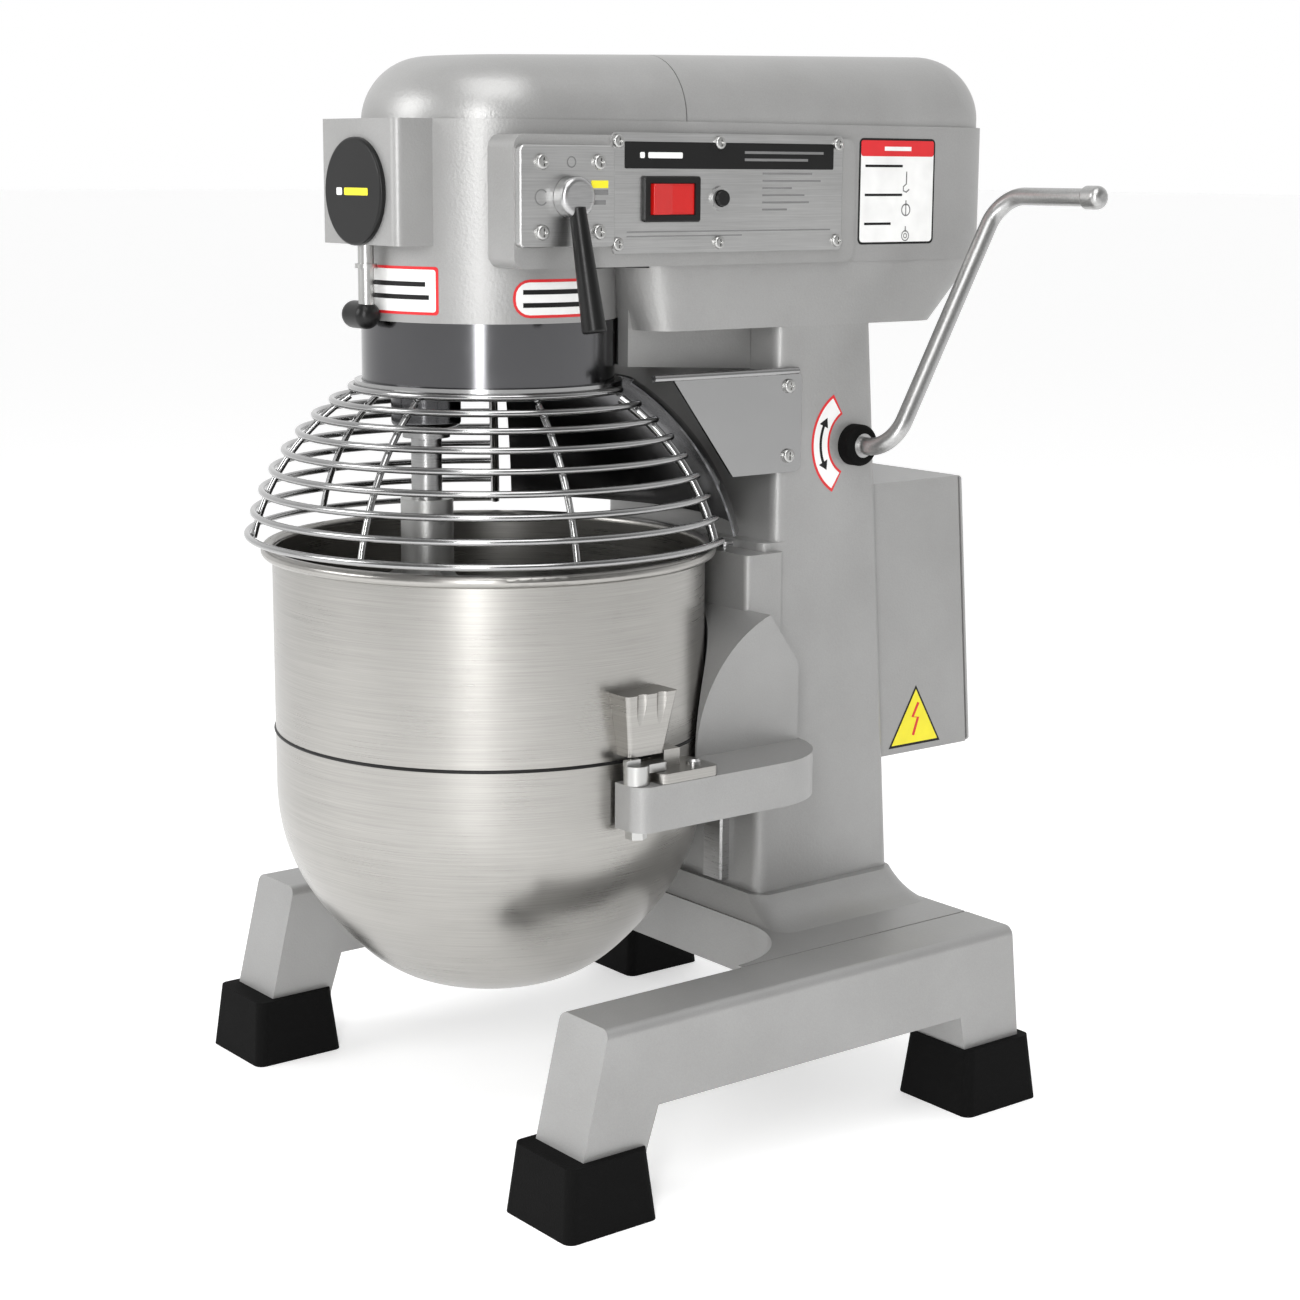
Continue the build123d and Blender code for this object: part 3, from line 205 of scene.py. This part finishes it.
bowl_steel = brushed("bowl_brushed_steel", (0.42, 0.41, 0.39), 0.29, 0.0006, (0.008, 0.008, 1),
                     0.000008, 0.08)
plate_steel = brushed("plate_brushed_steel", (0.56, 0.56, 0.555), 0.34, along=(1, 0.02, 1))
rod_steel = brushed("rod_satin_steel", (0.50, 0.50, 0.495), 0.36, 0.0016, (1, 1, 1), 0.00002, 0.08)
turned_steel = brushed("turned_steel", (0.50, 0.50, 0.50), 0.3, along=(0.05, 0.05, 1))
wire_chrome = polished("guard_wire_chrome", (0.40, 0.40, 0.40), 0.17)
screw_nickel = polished("screw_nickel", (0.52, 0.52, 0.51), 0.28)
dark_steel = polished("dark_polished_steel", (0.13, 0.13, 0.135), 0.15)
gear_steel = polished("hardened_gear_steel", (0.34, 0.34, 0.35), 0.34)
bearing_bronze = polished("bearing_bronze", (0.58, 0.38, 0.17), 0.32)

# %% [markdown]
# ## Rubber, plastics and ink
# The boots are dull black rubber with a fine moulded grain. Plastics are smoother and show a soft sheen.
# Printed labels are vinyl: their colours are flat, and only the gloss wanders a little.


# %% Rubber, plastics and labels
def moulded(name, colour, roughness, grain, depth, metallic=0.0, **fixed):
    plastic = Finish(name, colour, roughness, metallic, **fixed)
    texture = plastic.noise(grain, 2)
    wear = plastic.noise(0.03, 3)
    darker = tuple(c * 0.8 for c in colour)
    lighter = tuple(min(1, c * 1.25) for c in colour)
    plastic.feed(Base_Color=plastic.mix(wear, darker, lighter),
                 Roughness=wear * 0.12 + (roughness - 0.06))
    plastic.bump(texture, depth)
    return plastic.material


boot_rubber = moulded("boot_rubber", (0.0025, 0.0025, 0.0025), 0.8, 0.0012, 0.00025, Specular_IOR_Level=0.12)
black_plastic = moulded("black_plastic", (0.006, 0.006, 0.006), 0.34, 0.0008, 0.00004, Specular_IOR_Level=0.3)
red_lens = moulded("red_rocker_lens", (0.42, 0.006, 0.006), 0.2, 0.004, 0.00003,
                   Emission_Color=(1.0, 0.02, 0.01, 1), Emission_Strength=0.12)
iron_raw = moulded("raw_cast_iron", (0.12, 0.12, 0.12), 0.6, 0.002, 0.0003, 0.6)
beater_cast = moulded("beater_cast_aluminium", (0.55, 0.55, 0.54), 0.38, 0.002, 0.0001, 0.9)
grey_moulding = moulded("grey_moulding", (0.35, 0.35, 0.34), 0.5, 0.001, 0.00005)
vinyl_white = moulded("vinyl_white", (0.80, 0.80, 0.79), 0.4, 0.001, 0.00001)
vinyl_black = moulded("vinyl_black", (0.006, 0.006, 0.006), 0.45, 0.001, 0.00001, Specular_IOR_Level=0.25)
vinyl_red = moulded("vinyl_red", (0.62, 0.015, 0.02), 0.4, 0.001, 0.00001)
vinyl_yellow = moulded("vinyl_yellow", (0.85, 0.72, 0.02), 0.4, 0.001, 0.00001)
vinyl_grey = moulded("vinyl_grey", (0.16, 0.16, 0.16), 0.45, 0.001, 0.00001)

# %% [markdown]
# ## Dress the engineering model
# Each node keeps its mesh and gets a finish. A table of finish to node names is easy to read and to check:
# any node that nobody dressed is printed.

# %% Give every node its finish
DRESS = {
    silver_paint: "base_casting column head_housing bowl_yoke electrical_box",
    cover_paint: "front_top_cover rear_top_cover electrical_box_lid",
    turned_steel: "slide_ways agitator_shaft main_shaft layshaft hub_drive_shaft lift_shaft lift_rack "
                  "lift_sector shift_shaft bowl_locating_pins",
    plate_steel: "control_panel shift_plate",
    rod_steel: "lift_lever_rod lift_lever_cap",
    bowl_steel: "mixing_bowl bowl_lugs",
    wire_chrome: "guard_rings guard_ribs guard_brackets",
    screw_nickel: "control_panel_screws shift_plate_screws electrical_box_screws guard_bracket_screws "
                  "rack_bolts hub_clamp_screw bowl_clamp_right bowl_clamp_left",
    dark_steel: "drum_collar rear_splash_sheet planet_carrier",
    gear_steel: "ring_gear main_gear layshaft_large_gear motor_rotor",
    bearing_bronze: "shaft_bearings",
    boot_rubber: "rubber_boots lift_bush",
    black_plastic: "hub_cover_disc shift_grip switch_bezel stop_button cable_gland hub_clamp_knob "
                   "terminal_block",
    red_lens: "power_rocker",
    iron_raw: "layshaft_bridge gear_case_plate motor_case motor_stator",
    beater_cast: "flat_beater",
    grey_moulding: "motor_contactor",
}
dressed = set()
for finish, names in DRESS.items():
    for name in names.split():
        node = bpy.data.objects[name]
        if not node.material_slots:
            node.data.materials.append(finish)
        for slot in node.material_slots:
            slot.material = finish
        dressed.add(name)
print("undressed:", sorted(set(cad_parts) - dressed))

# %% [markdown]
# ## The bowl's band
# A thin bead runs round the bowl where its rounded bottom begins. The bead is the bowl's own rolled steel;
# its black colour is painted shade, the dark line along the bead. It is a narrow ring: a half-round section,
# turned about the bowl's axis. Its ends would show as a seam, so the last section joins the first.


# %% A ring turned about the bowl's axis
def ring_piece(name, section, finish, body, steps=160):
    """Section points are (radius, height) in millimetres and go round the section once."""
    mesh = bmesh.new()
    sections = []
    for i in range(steps):
        turn = 2 * math.pi * i / steps
        sections.append([mesh.verts.new(mm(r * math.cos(turn), r * math.sin(turn), h))
                         for r, h in section])
    for i in range(steps):
        here, there = sections[i], sections[(i + 1) % steps]
        for j in range(len(section)):
            k = (j + 1) % len(section)
            mesh.faces.new((here[j], here[k], there[k], there[j]))
    return keep(mesh, name, finish, body, smooth=True)


def keep(mesh, name, finish, body, smooth=False):
    """Turns a bmesh into a piece that rides on a body."""
    bmesh.ops.remove_doubles(mesh, verts=mesh.verts, dist=1e-6)
    bmesh.ops.recalc_face_normals(mesh, faces=mesh.faces)
    data = bpy.data.meshes.new(name)
    mesh.to_mesh(data)
    mesh.free()
    for material in finish if isinstance(finish, (list, tuple)) else [finish]:
        data.materials.append(material)
    data.polygons.foreach_set("use_smooth", [smooth] * len(data.polygons))
    piece = bpy.data.objects.new(name, data)
    bpy.context.scene.collection.objects.link(piece)
    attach(piece, body)
    print(f"{name}: {len(data.polygons)} faces on {body}")
    return piece


BAND_Z = 295
BOWL_BODY = "yoke"
bead = [(155.6 + 1.5 * math.cos(a), BAND_Z + 1.3 * math.sin(a))
        for a in (math.radians(-90 + 18 * i) for i in range(11))]
# black here is painted shade along the rolled steel bead, not a colour the bowl has
ring_piece("bowl_band", bead, vinyl_black, BOWL_BODY)

# %% [markdown]
# ## Printed labels
# A label is thin vinyl on a flat or a round face. Each one is drawn in its own plane as closed outlines,
# cut into narrow strips where it must bend, given a hair of thickness, and then laid on its surface by a
# function that turns (across, up, out) into a place.


# %% Laying flat artwork on a surface
def on_side(x):
    """Right side of the machine at x: across is rearward."""
    return lambda a, b, out: mm(x + out, a, b)


def on_drum(radius):
    """Round the drum: across is millimetres of arc, measured from straight ahead towards the right."""
    def place(a, b, out):
        turn = a / radius - math.pi / 2
        return mm((radius + out) * math.cos(turn), (radius + out) * math.sin(turn), b)
    return place


def on_front(y):
    """Front of the machine at y: across is to the right."""
    return lambda a, b, out: mm(a, y - out, b)


def block(low, high, corner=0.0, steps=5):
    """A rectangle between two corners, with rounded corners."""
    (x0, y0), (x1, y1) = low, high
    if corner <= 0:
        return [(x0, y0), (x1, y0), (x1, y1), (x0, y1)]
    points = []
    for cx, cy, first in ((x1 - corner, y0 + corner, -90), (x1 - corner, y1 - corner, 0),
                          (x0 + corner, y1 - corner, 90), (x0 + corner, y0 + corner, 180)):
        for i in range(steps + 1):
            turn = math.radians(first + 90 * i / steps)
            points.append((cx + corner * math.cos(turn), cy + corner * math.sin(turn)))
    return points


def stroke(points, width):
    """A pen line along some points, as one closed outline."""
    left, right = [], []
    for i, (x, y) in enumerate(points):
        before, after = points[max(i - 1, 0)], points[min(i + 1, len(points) - 1)]
        run, rise = after[0] - before[0], after[1] - before[1]
        size = math.hypot(run, rise) or 1
        left.append((x - rise / size * width / 2, y + run / size * width / 2))
        right.append((x + rise / size * width / 2, y - run / size * width / 2))
    return left + right[::-1]


def arc(cx, cy, radius, first, last, steps=24):
    turns = (math.radians(first + (last - first) * i / steps) for i in range(steps + 1))
    return [(cx + radius * math.cos(t), cy + radius * math.sin(t)) for t in turns]


def artwork(name, place, layers, body, strip=None):
    """Layers are (outline, finish, thickness from the surface in millimetres)."""
    finishes = []
    whole = bmesh.new()
    for outline, finish, thick in layers:
        if finish not in finishes:
            finishes.append(finish)
        art = bmesh.new()
        art.faces.new([art.verts.new((x, y, 0)) for x, y in outline])
        if strip:
            low, high = min(x for x, y in outline), max(x for x, y in outline)
            for i in range(1, int((high - low) / strip) + 1):
                bmesh.ops.bisect_plane(art, geom=art.verts[:] + art.edges[:] + art.faces[:],
                                       plane_co=(low + i * strip, 0, 0), plane_no=(1, 0, 0))
        skin = bmesh.ops.extrude_face_region(art, geom=art.faces[:])
        for v in skin["geom"]:
            if isinstance(v, bmesh.types.BMVert):
                v.co.z = thick
        for v in art.verts:
            v.co = place(v.co.x, v.co.y, v.co.z)
        for face in art.faces:
            face.material_index = finishes.index(finish)
        bmesh.ops.recalc_face_normals(art, faces=art.faces)
        flat = bpy.data.meshes.new("layer")
        art.to_mesh(flat)
        art.free()
        whole.from_mesh(flat)
        bpy.data.meshes.remove(flat)
    return keep(whole, name, finishes, body)


def rows(low, high, heights, thick, shares):
    """Lines that stand for small print: plain bars, no lettering."""
    wide = high - low
    return [block((low, h - thick / 2), (low + wide * share, h + thick / 2))
            for h, share in zip(heights, shares)]


# %% [markdown]
# The panel has a black header strip and a block of small print. Real print would carry names and ratings,
# so plain bars stand for it.

# %% Panel artwork
PANEL_FACE, PLATE_FACE, CARD_FACE, COLUMN_FACE = 114, 118, 108, 104
print_lines = rows(157, 212, (691, 686, 681, 676, 671, 666), 1.3, (0.85, 1.0, 0.5, 0.72, 0.8, 0.42))
panel_art = [(block((34, 694), (224, 712), 1), vinyl_black, 0.25)]
panel_art += [(bar, vinyl_grey, 0.2)
              for bar in print_lines + rows(36, 222, (651.5, 648.5), 0.9, (1.0, 0.55))]
panel_art += [(bar, vinyl_white, 0.4)
              for bar in (block((47, 701), (51, 705), 1), block((54, 701), (84, 705), 1))]
panel_art += [(bar, vinyl_grey, 0.4) for bar in rows(140, 214, (705.5, 700.5), 1.8, (1.0, 0.8))]
artwork("panel_print", on_side(PANEL_FACE), panel_art, "frame")

plate_art = [(stroke(arc(-38, 675, 5, 40, 320), 0.9), vinyl_grey, 0.2),
             (stroke(arc(-13.5, 698, 3.4, 0, 360), 0.8), vinyl_grey, 0.2),
             (block((3, 681), (17, 686)), vinyl_yellow, 0.2), (block((3, 676.5), (17, 680)), vinyl_grey, 0.2),
             (block((5, 670), (15, 673)), vinyl_grey, 0.2)]
artwork("speed_plate_print", on_side(PLATE_FACE), plate_art, "frame")

# %% [markdown]
# The card at the rear shows the three tools: flat beater, hook and whisk. Simple pen strokes draw them.

# %% Tool card
card_art = [(block((255, 640), (332, 717), 4), vinyl_black, 0.2),
            (block((256.6, 641.6), (330.4, 715.4), 3), vinyl_white, 0.3),
            (block((256.6, 704), (330.4, 715.4), 2), vinyl_red, 0.4),
            (block((280, 708), (307, 711)), vinyl_white, 0.5)]
for height, share in ((697, 0.62), (676, 0.62), (655, 0.44)):
    card_art += [(bar, vinyl_black, 0.4) for bar in rows(261, 322, (height,), 1.8, (share,))]
for centre in (687, 666, 647):
    card_art += [(stroke([(303, centre + 6), (303, centre + 2)], 1.0), vinyl_grey, 0.4)]
hook = [(303, 691), (303, 684), (300, 682), (300, 679), (303, 678), (306, 680)]
card_art += [(stroke(hook, 1.1), vinyl_grey, 0.4),
             (stroke(arc(303, 665, 4.2, 90, 450), 1.0), vinyl_grey, 0.4),
             (stroke([(303, 669), (303, 661)], 0.9), vinyl_grey, 0.4),
             (stroke(arc(303, 646, 3.6, 90, 450), 0.8), vinyl_grey, 0.4),
             (stroke(arc(303, 646, 1.6, 90, 450), 0.7), vinyl_grey, 0.4)]
artwork("tool_card", on_side(CARD_FACE), card_art, "frame")

# %% [markdown]
# Two red-edged labels wrap the drum. Their outlines are cut into strips 4 mm wide before they are bent.

# %% Drum labels
DRUM = on_drum(91)


def warning_strip(name, low, high, bottom, top, corner):
    art = [(block((low, bottom), (high, top), corner), vinyl_red, 0.15),
           (block((low + 2, bottom + 2), (high - 2, top - 2), corner * 0.8), vinyl_white, 0.3)]
    half_way = (top + bottom) / 2
    lines = (half_way + 4.4, half_way - 4.4)
    art += [(bar, vinyl_black, 0.45) for bar in rows(low + 7, high - 7, lines, 3.2, (0.96, 1.0))]
    return artwork(name, DRUM, art, "frame", strip=4)


warning_strip("drum_label_front", -28, 54, 595.5, 628, 2.5)
warning_strip("drum_label_side", 105, 170, 594, 620, 12)

# %% [markdown]
# The lift lever's label curves round its pivot and carries a double arrow. On the electrical box a yellow
# triangle stands for the usual sign of live parts, with a plain bolt inside.

# %% Lift label and box sign
LIFT_PIVOT, LABEL_R, ARROW_HALF = (259, 494), 33, 4.5


def round_pivot(radius, first, last):
    return arc(*LIFT_PIVOT, radius, first, last)


def at_pivot(radius, turn):
    return arc(*LIFT_PIVOT, radius, turn, turn, 1)[0]


lift = [(stroke(round_pivot(LABEL_R, 119, 241), 17.5), vinyl_red, 0.2),
        (stroke(round_pivot(LABEL_R, 122, 238), 13.5), vinyl_white, 0.3),
        (stroke(round_pivot(LABEL_R, 156, 204), 2.4), vinyl_black, 0.4)]
for turn, sense in ((156, -1), (204, 1)):
    head = [at_pivot(LABEL_R + ARROW_HALF, turn), at_pivot(LABEL_R, turn + sense * 12),
            at_pivot(LABEL_R - ARROW_HALF, turn)]
    lift.append((head, vinyl_black, 0.4))
artwork("lift_label", on_side(COLUMN_FACE), lift, "frame")

box_low, box_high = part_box("electrical_box")
box_side = (box_high[0] - AXIS_X) * 1000
middle = ((box_low[1] + box_high[1]) / 2 - AXIS_Y) * 1000
print("electrical box side at", round(box_side, 1), "middle", round(middle, 1))


def triangle(size, base):
    return [(middle - size / 2, base), (middle + size / 2, base), (middle, base + size * 0.86)]


bolt = [(middle + 3, 280), (middle - 3, 269), (middle + 3, 268), (middle - 2, 254)]
sign = [(triangle(56, 246), vinyl_black, 0.2), (triangle(50, 248), vinyl_yellow, 0.3),
        (stroke(bolt, 2.6), vinyl_red, 0.4)]
artwork("box_sign", on_side(box_side), sign, "frame")

# %% [markdown]
# The hub's black cover carries a small badge on the real machine. Here it is two plain bars.

# %% Hub disc bars
disc_low, disc_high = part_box("hub_cover_disc")
DISC = on_front((AXIS_Y - disc_low[1]) * -1000)
artwork("hub_disc_bars", DISC, [(block((-20, 675), (-13, 680), 1), vinyl_white, 0.25),
                                (block((-10, 675), (20, 680), 1), vinyl_yellow, 0.25)], "frame")

# %% [markdown]
# ## Weld beads on the guard
# Every crossing of a ring and an upright wire is a small resistance weld. The beads repeat by a rule, so
# Geometry Nodes place them: an index gives the ring and the upright, and the guard's arc gives the place.

# %% The guard's curve
CROWN, BULGE, SKIRT = (98, 541), (144, 499), (173, 437)
BEAD_SIZE, BEAD_INSET = 0.0026, 0.0022


def circle_through(a, b, c):
    bx, by, cx, cy = b[0] - a[0], b[1] - a[1], c[0] - a[0], c[1] - a[1]
    d = 2 * (bx * cy - by * cx)
    ux = (cy * (bx * bx + by * by) - by * (cx * cx + cy * cy)) / d
    uy = (bx * (cx * cx + cy * cy) - cx * (bx * bx + by * by)) / d
    return a[0] + ux, a[1] + uy, math.hypot(ux, uy)


arc_r, arc_z, arc_size = circle_through(CROWN, BULGE, SKIRT)
first_turn = math.atan2(CROWN[1] - arc_z, CROWN[0] - arc_r)
last_turn = math.atan2(SKIRT[1] - arc_z, SKIRT[0] - arc_r)
print("guard arc radius:", round(arc_size, 1), "mm")


# %% A node tree that places the beads
def weld_tree(name, finish):
    tree = bpy.data.node_groups.new(name, "GeometryNodeTree")
    sizes = {"Rings": 9, "Uprights": 6, "Arc Radius": arc_size / 1000, "Arc Centre R": arc_r / 1000,
             "Arc Centre Z": arc_z / 1000, "First Turn": first_turn, "Last Turn": last_turn,
             "First Upright": math.radians(36), "Upright Step": math.radians(-252 / 5), "Bead": BEAD_SIZE}
    face = tree.interface
    face.new_socket("Geometry", in_out="INPUT", socket_type="NodeSocketGeometry")
    for title, value in sizes.items():
        kind = "NodeSocketInt" if isinstance(value, int) else "NodeSocketFloat"
        face.new_socket(title, in_out="INPUT", socket_type=kind).default_value = value
    face.new_socket("Geometry", in_out="OUTPUT", socket_type="NodeSocketGeometry")
    source, sink = tree.nodes.new("NodeGroupInput"), tree.nodes.new("NodeGroupOutput")
    size = {title: Signal(tree, source.outputs[title]) for title in sizes}

    def add(kind, **inputs):
        node = tree.nodes.new(kind)
        for key, value in inputs.items():
            socket = node.inputs[key.replace("_", " ")]
            if isinstance(value, Signal):
                tree.links.new(value.socket, socket)
            else:
                socket.default_value = value
        return node

    index = Signal(tree, add("GeometryNodeInputIndex").outputs[0])
    ring = index.math("FLOOR", index.math("DIVIDE", index, size["Uprights"]))
    upright = index - ring * size["Uprights"]
    share = ring.math("DIVIDE", ring, size["Rings"] - 1)
    turn = size["First Turn"] + share * (size["Last Turn"] - size["First Turn"])
    reach = size["Arc Centre R"] + (size["Arc Radius"] - BEAD_INSET) * turn.math("COSINE", turn)
    height = size["Arc Centre Z"] + (size["Arc Radius"] - BEAD_INSET) * turn.math("SINE", turn)
    angle = size["First Upright"] + upright * size["Upright Step"]
    spot = add("ShaderNodeCombineXYZ", X=reach * angle.math("COSINE", angle) + AXIS_X,
               Y=reach * angle.math("SINE", angle) + AXIS_Y, Z=height)
    cloud = add("GeometryNodePoints", Count=size["Rings"] * size["Uprights"],
                Position=Signal(tree, spot.outputs[0]))
    bead = add("GeometryNodeMeshIcoSphere", Radius=size["Bead"], Subdivisions=2)
    placed = add("GeometryNodeInstanceOnPoints", Points=Signal(tree, cloud.outputs[0]),
                 Instance=Signal(tree, bead.outputs[0]))
    real = add("GeometryNodeRealizeInstances", Geometry=Signal(tree, placed.outputs[0]))
    painted = add("GeometryNodeSetMaterial", Geometry=Signal(tree, real.outputs[0]), Material=finish)
    tree.links.new(painted.outputs[0], sink.inputs[0])
    return tree


# %% Run the tree and keep its mesh
def grown(name, tree, body, slot, **values):
    """Applies a tree to an empty mesh and keeps the result as a plain piece."""
    seed = bpy.data.objects.new(name, bpy.data.meshes.new(name + "_seed"))
    bpy.context.scene.collection.objects.link(seed)
    run = seed.modifiers.new("grow", "NODES")
    run.node_group = tree
    for item in tree.interface.items_tree:
        if item.in_out == "INPUT" and item.name in values:
            run[item.identifier] = values[item.name]
    ready = seed.evaluated_get(bpy.context.evaluated_depsgraph_get())
    mesh = bpy.data.meshes.new_from_object(ready)
    seed.modifiers.remove(run)
    seed.data = mesh
    mesh.name = name
    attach(seed, body)
    print(f"{name}: {len(mesh.polygons)} faces on {body}")
    return seed


grown("guard_welds", weld_tree("guard_weld_beads", wire_chrome), "guard", "chrome", Bead=BEAD_SIZE)

# %% [markdown]
# ## Floor, light and camera
# The mixer stands on a plain pale floor. A room that is bright behind the machine and greyer behind the
# camera gives the metal something to reflect, and one tall softbox draws the bright stripe down the bowl.

# %% Floor
FLOOR_HALF = 60.0
floor_mesh = bmesh.new()
corners = ((-1, -1), (1, -1), (1, 1), (-1, 1))
floor_mesh.faces.new([floor_mesh.verts.new((x * FLOOR_HALF, y * FLOOR_HALF, 0)) for x, y in corners])
floor_data = bpy.data.meshes.new("floor")
floor_mesh.to_mesh(floor_data)
floor_mesh.free()
floor = bpy.data.objects.new("floor", floor_data)
floor_finish = Finish("pale_floor", (0.86, 0.86, 0.86), 0.7, Emission_Color=(1, 1, 1, 1),
                      Emission_Strength=0.42)
floor_data.materials.append(floor_finish.material)
bpy.context.scene.collection.objects.link(floor)

# %% Room light
LOOK = Vector((-0.77116, 0.60684, -0.19252)).normalized()
world = bpy.data.worlds.new("studio")
bpy.context.scene.world = world
world.use_nodes = True
sky = world.node_tree
toward = sky.nodes.new("ShaderNodeVectorMath")
toward.operation = "DOT_PRODUCT"
sky.links.new(sky.nodes.new("ShaderNodeTexCoord").outputs["Generated"], toward.inputs[0])
toward.inputs[1].default_value = Vector((LOOK.x, LOOK.y, 0)).normalized()
ramp = sky.nodes.new("ShaderNodeValToRGB")
ramp.color_ramp.elements[0].position, ramp.color_ramp.elements[0].color = 0.3, (0.24, 0.24, 0.24, 1)
ramp.color_ramp.elements[1].position, ramp.color_ramp.elements[1].color = 0.78, (1, 1, 1, 1)
half = Signal(sky, toward.outputs["Value"]) * 0.5 + 0.5
sky.links.new(half.socket, ramp.inputs[0])
sky.links.new(ramp.outputs[0], sky.nodes["Background"].inputs["Color"])
sky.nodes["Background"].inputs["Strength"].default_value = 1.0


# %% Softboxes
def softbox(name, azimuth, distance, height, wide, tall, watts):
    """Azimuth 0 is straight in front of the machine, 90 is its right side."""
    lamp = bpy.data.lights.new(name, "AREA")
    lamp.shape, lamp.size, lamp.size_y, lamp.energy = "RECTANGLE", wide, tall, watts
    holder = bpy.data.objects.new(name, lamp)
    turn = math.radians(azimuth)
    holder.location = (distance * math.sin(turn), -distance * math.cos(turn), height)
    aim = Vector((0, 0, 0.4)) - holder.location
    holder.rotation_euler = aim.to_track_quat("-Z", "Y").to_euler()
    bpy.context.scene.collection.objects.link(holder)


softbox("stripe_softbox", 46, 2.6, 1.1, 0.35, 1.8, 34)
softbox("front_softbox", -20, 2.6, 1.6, 1.2, 1.4, 30)
softbox("top_softbox", 60, 1.2, 2.6, 1.6, 1.6, 26)

# %% Camera
CAMERA_SPOT, CAMERA_ROLL = mm(1458.6, -999.4, 695.2), 0.4
camera_data = bpy.data.cameras.new("camera")
camera_data.lens, camera_data.sensor_width = 68.2, 36
camera_data.clip_start, camera_data.clip_end = 0.05, 200
camera = bpy.data.objects.new("camera", camera_data)
right = LOOK.cross(Vector((0, 0, 1))).normalized()
upward = right.cross(LOOK)
frame_axes = Matrix((right, upward, -LOOK)).transposed()
camera.matrix_world = (Matrix.Translation(CAMERA_SPOT)
                       @ (frame_axes @ Matrix.Rotation(math.radians(CAMERA_ROLL), 3, "Z")).to_4x4())
bpy.context.scene.collection.objects.link(camera)
bpy.context.scene.camera = camera
bpy.context.scene.view_settings.view_transform = "Standard"
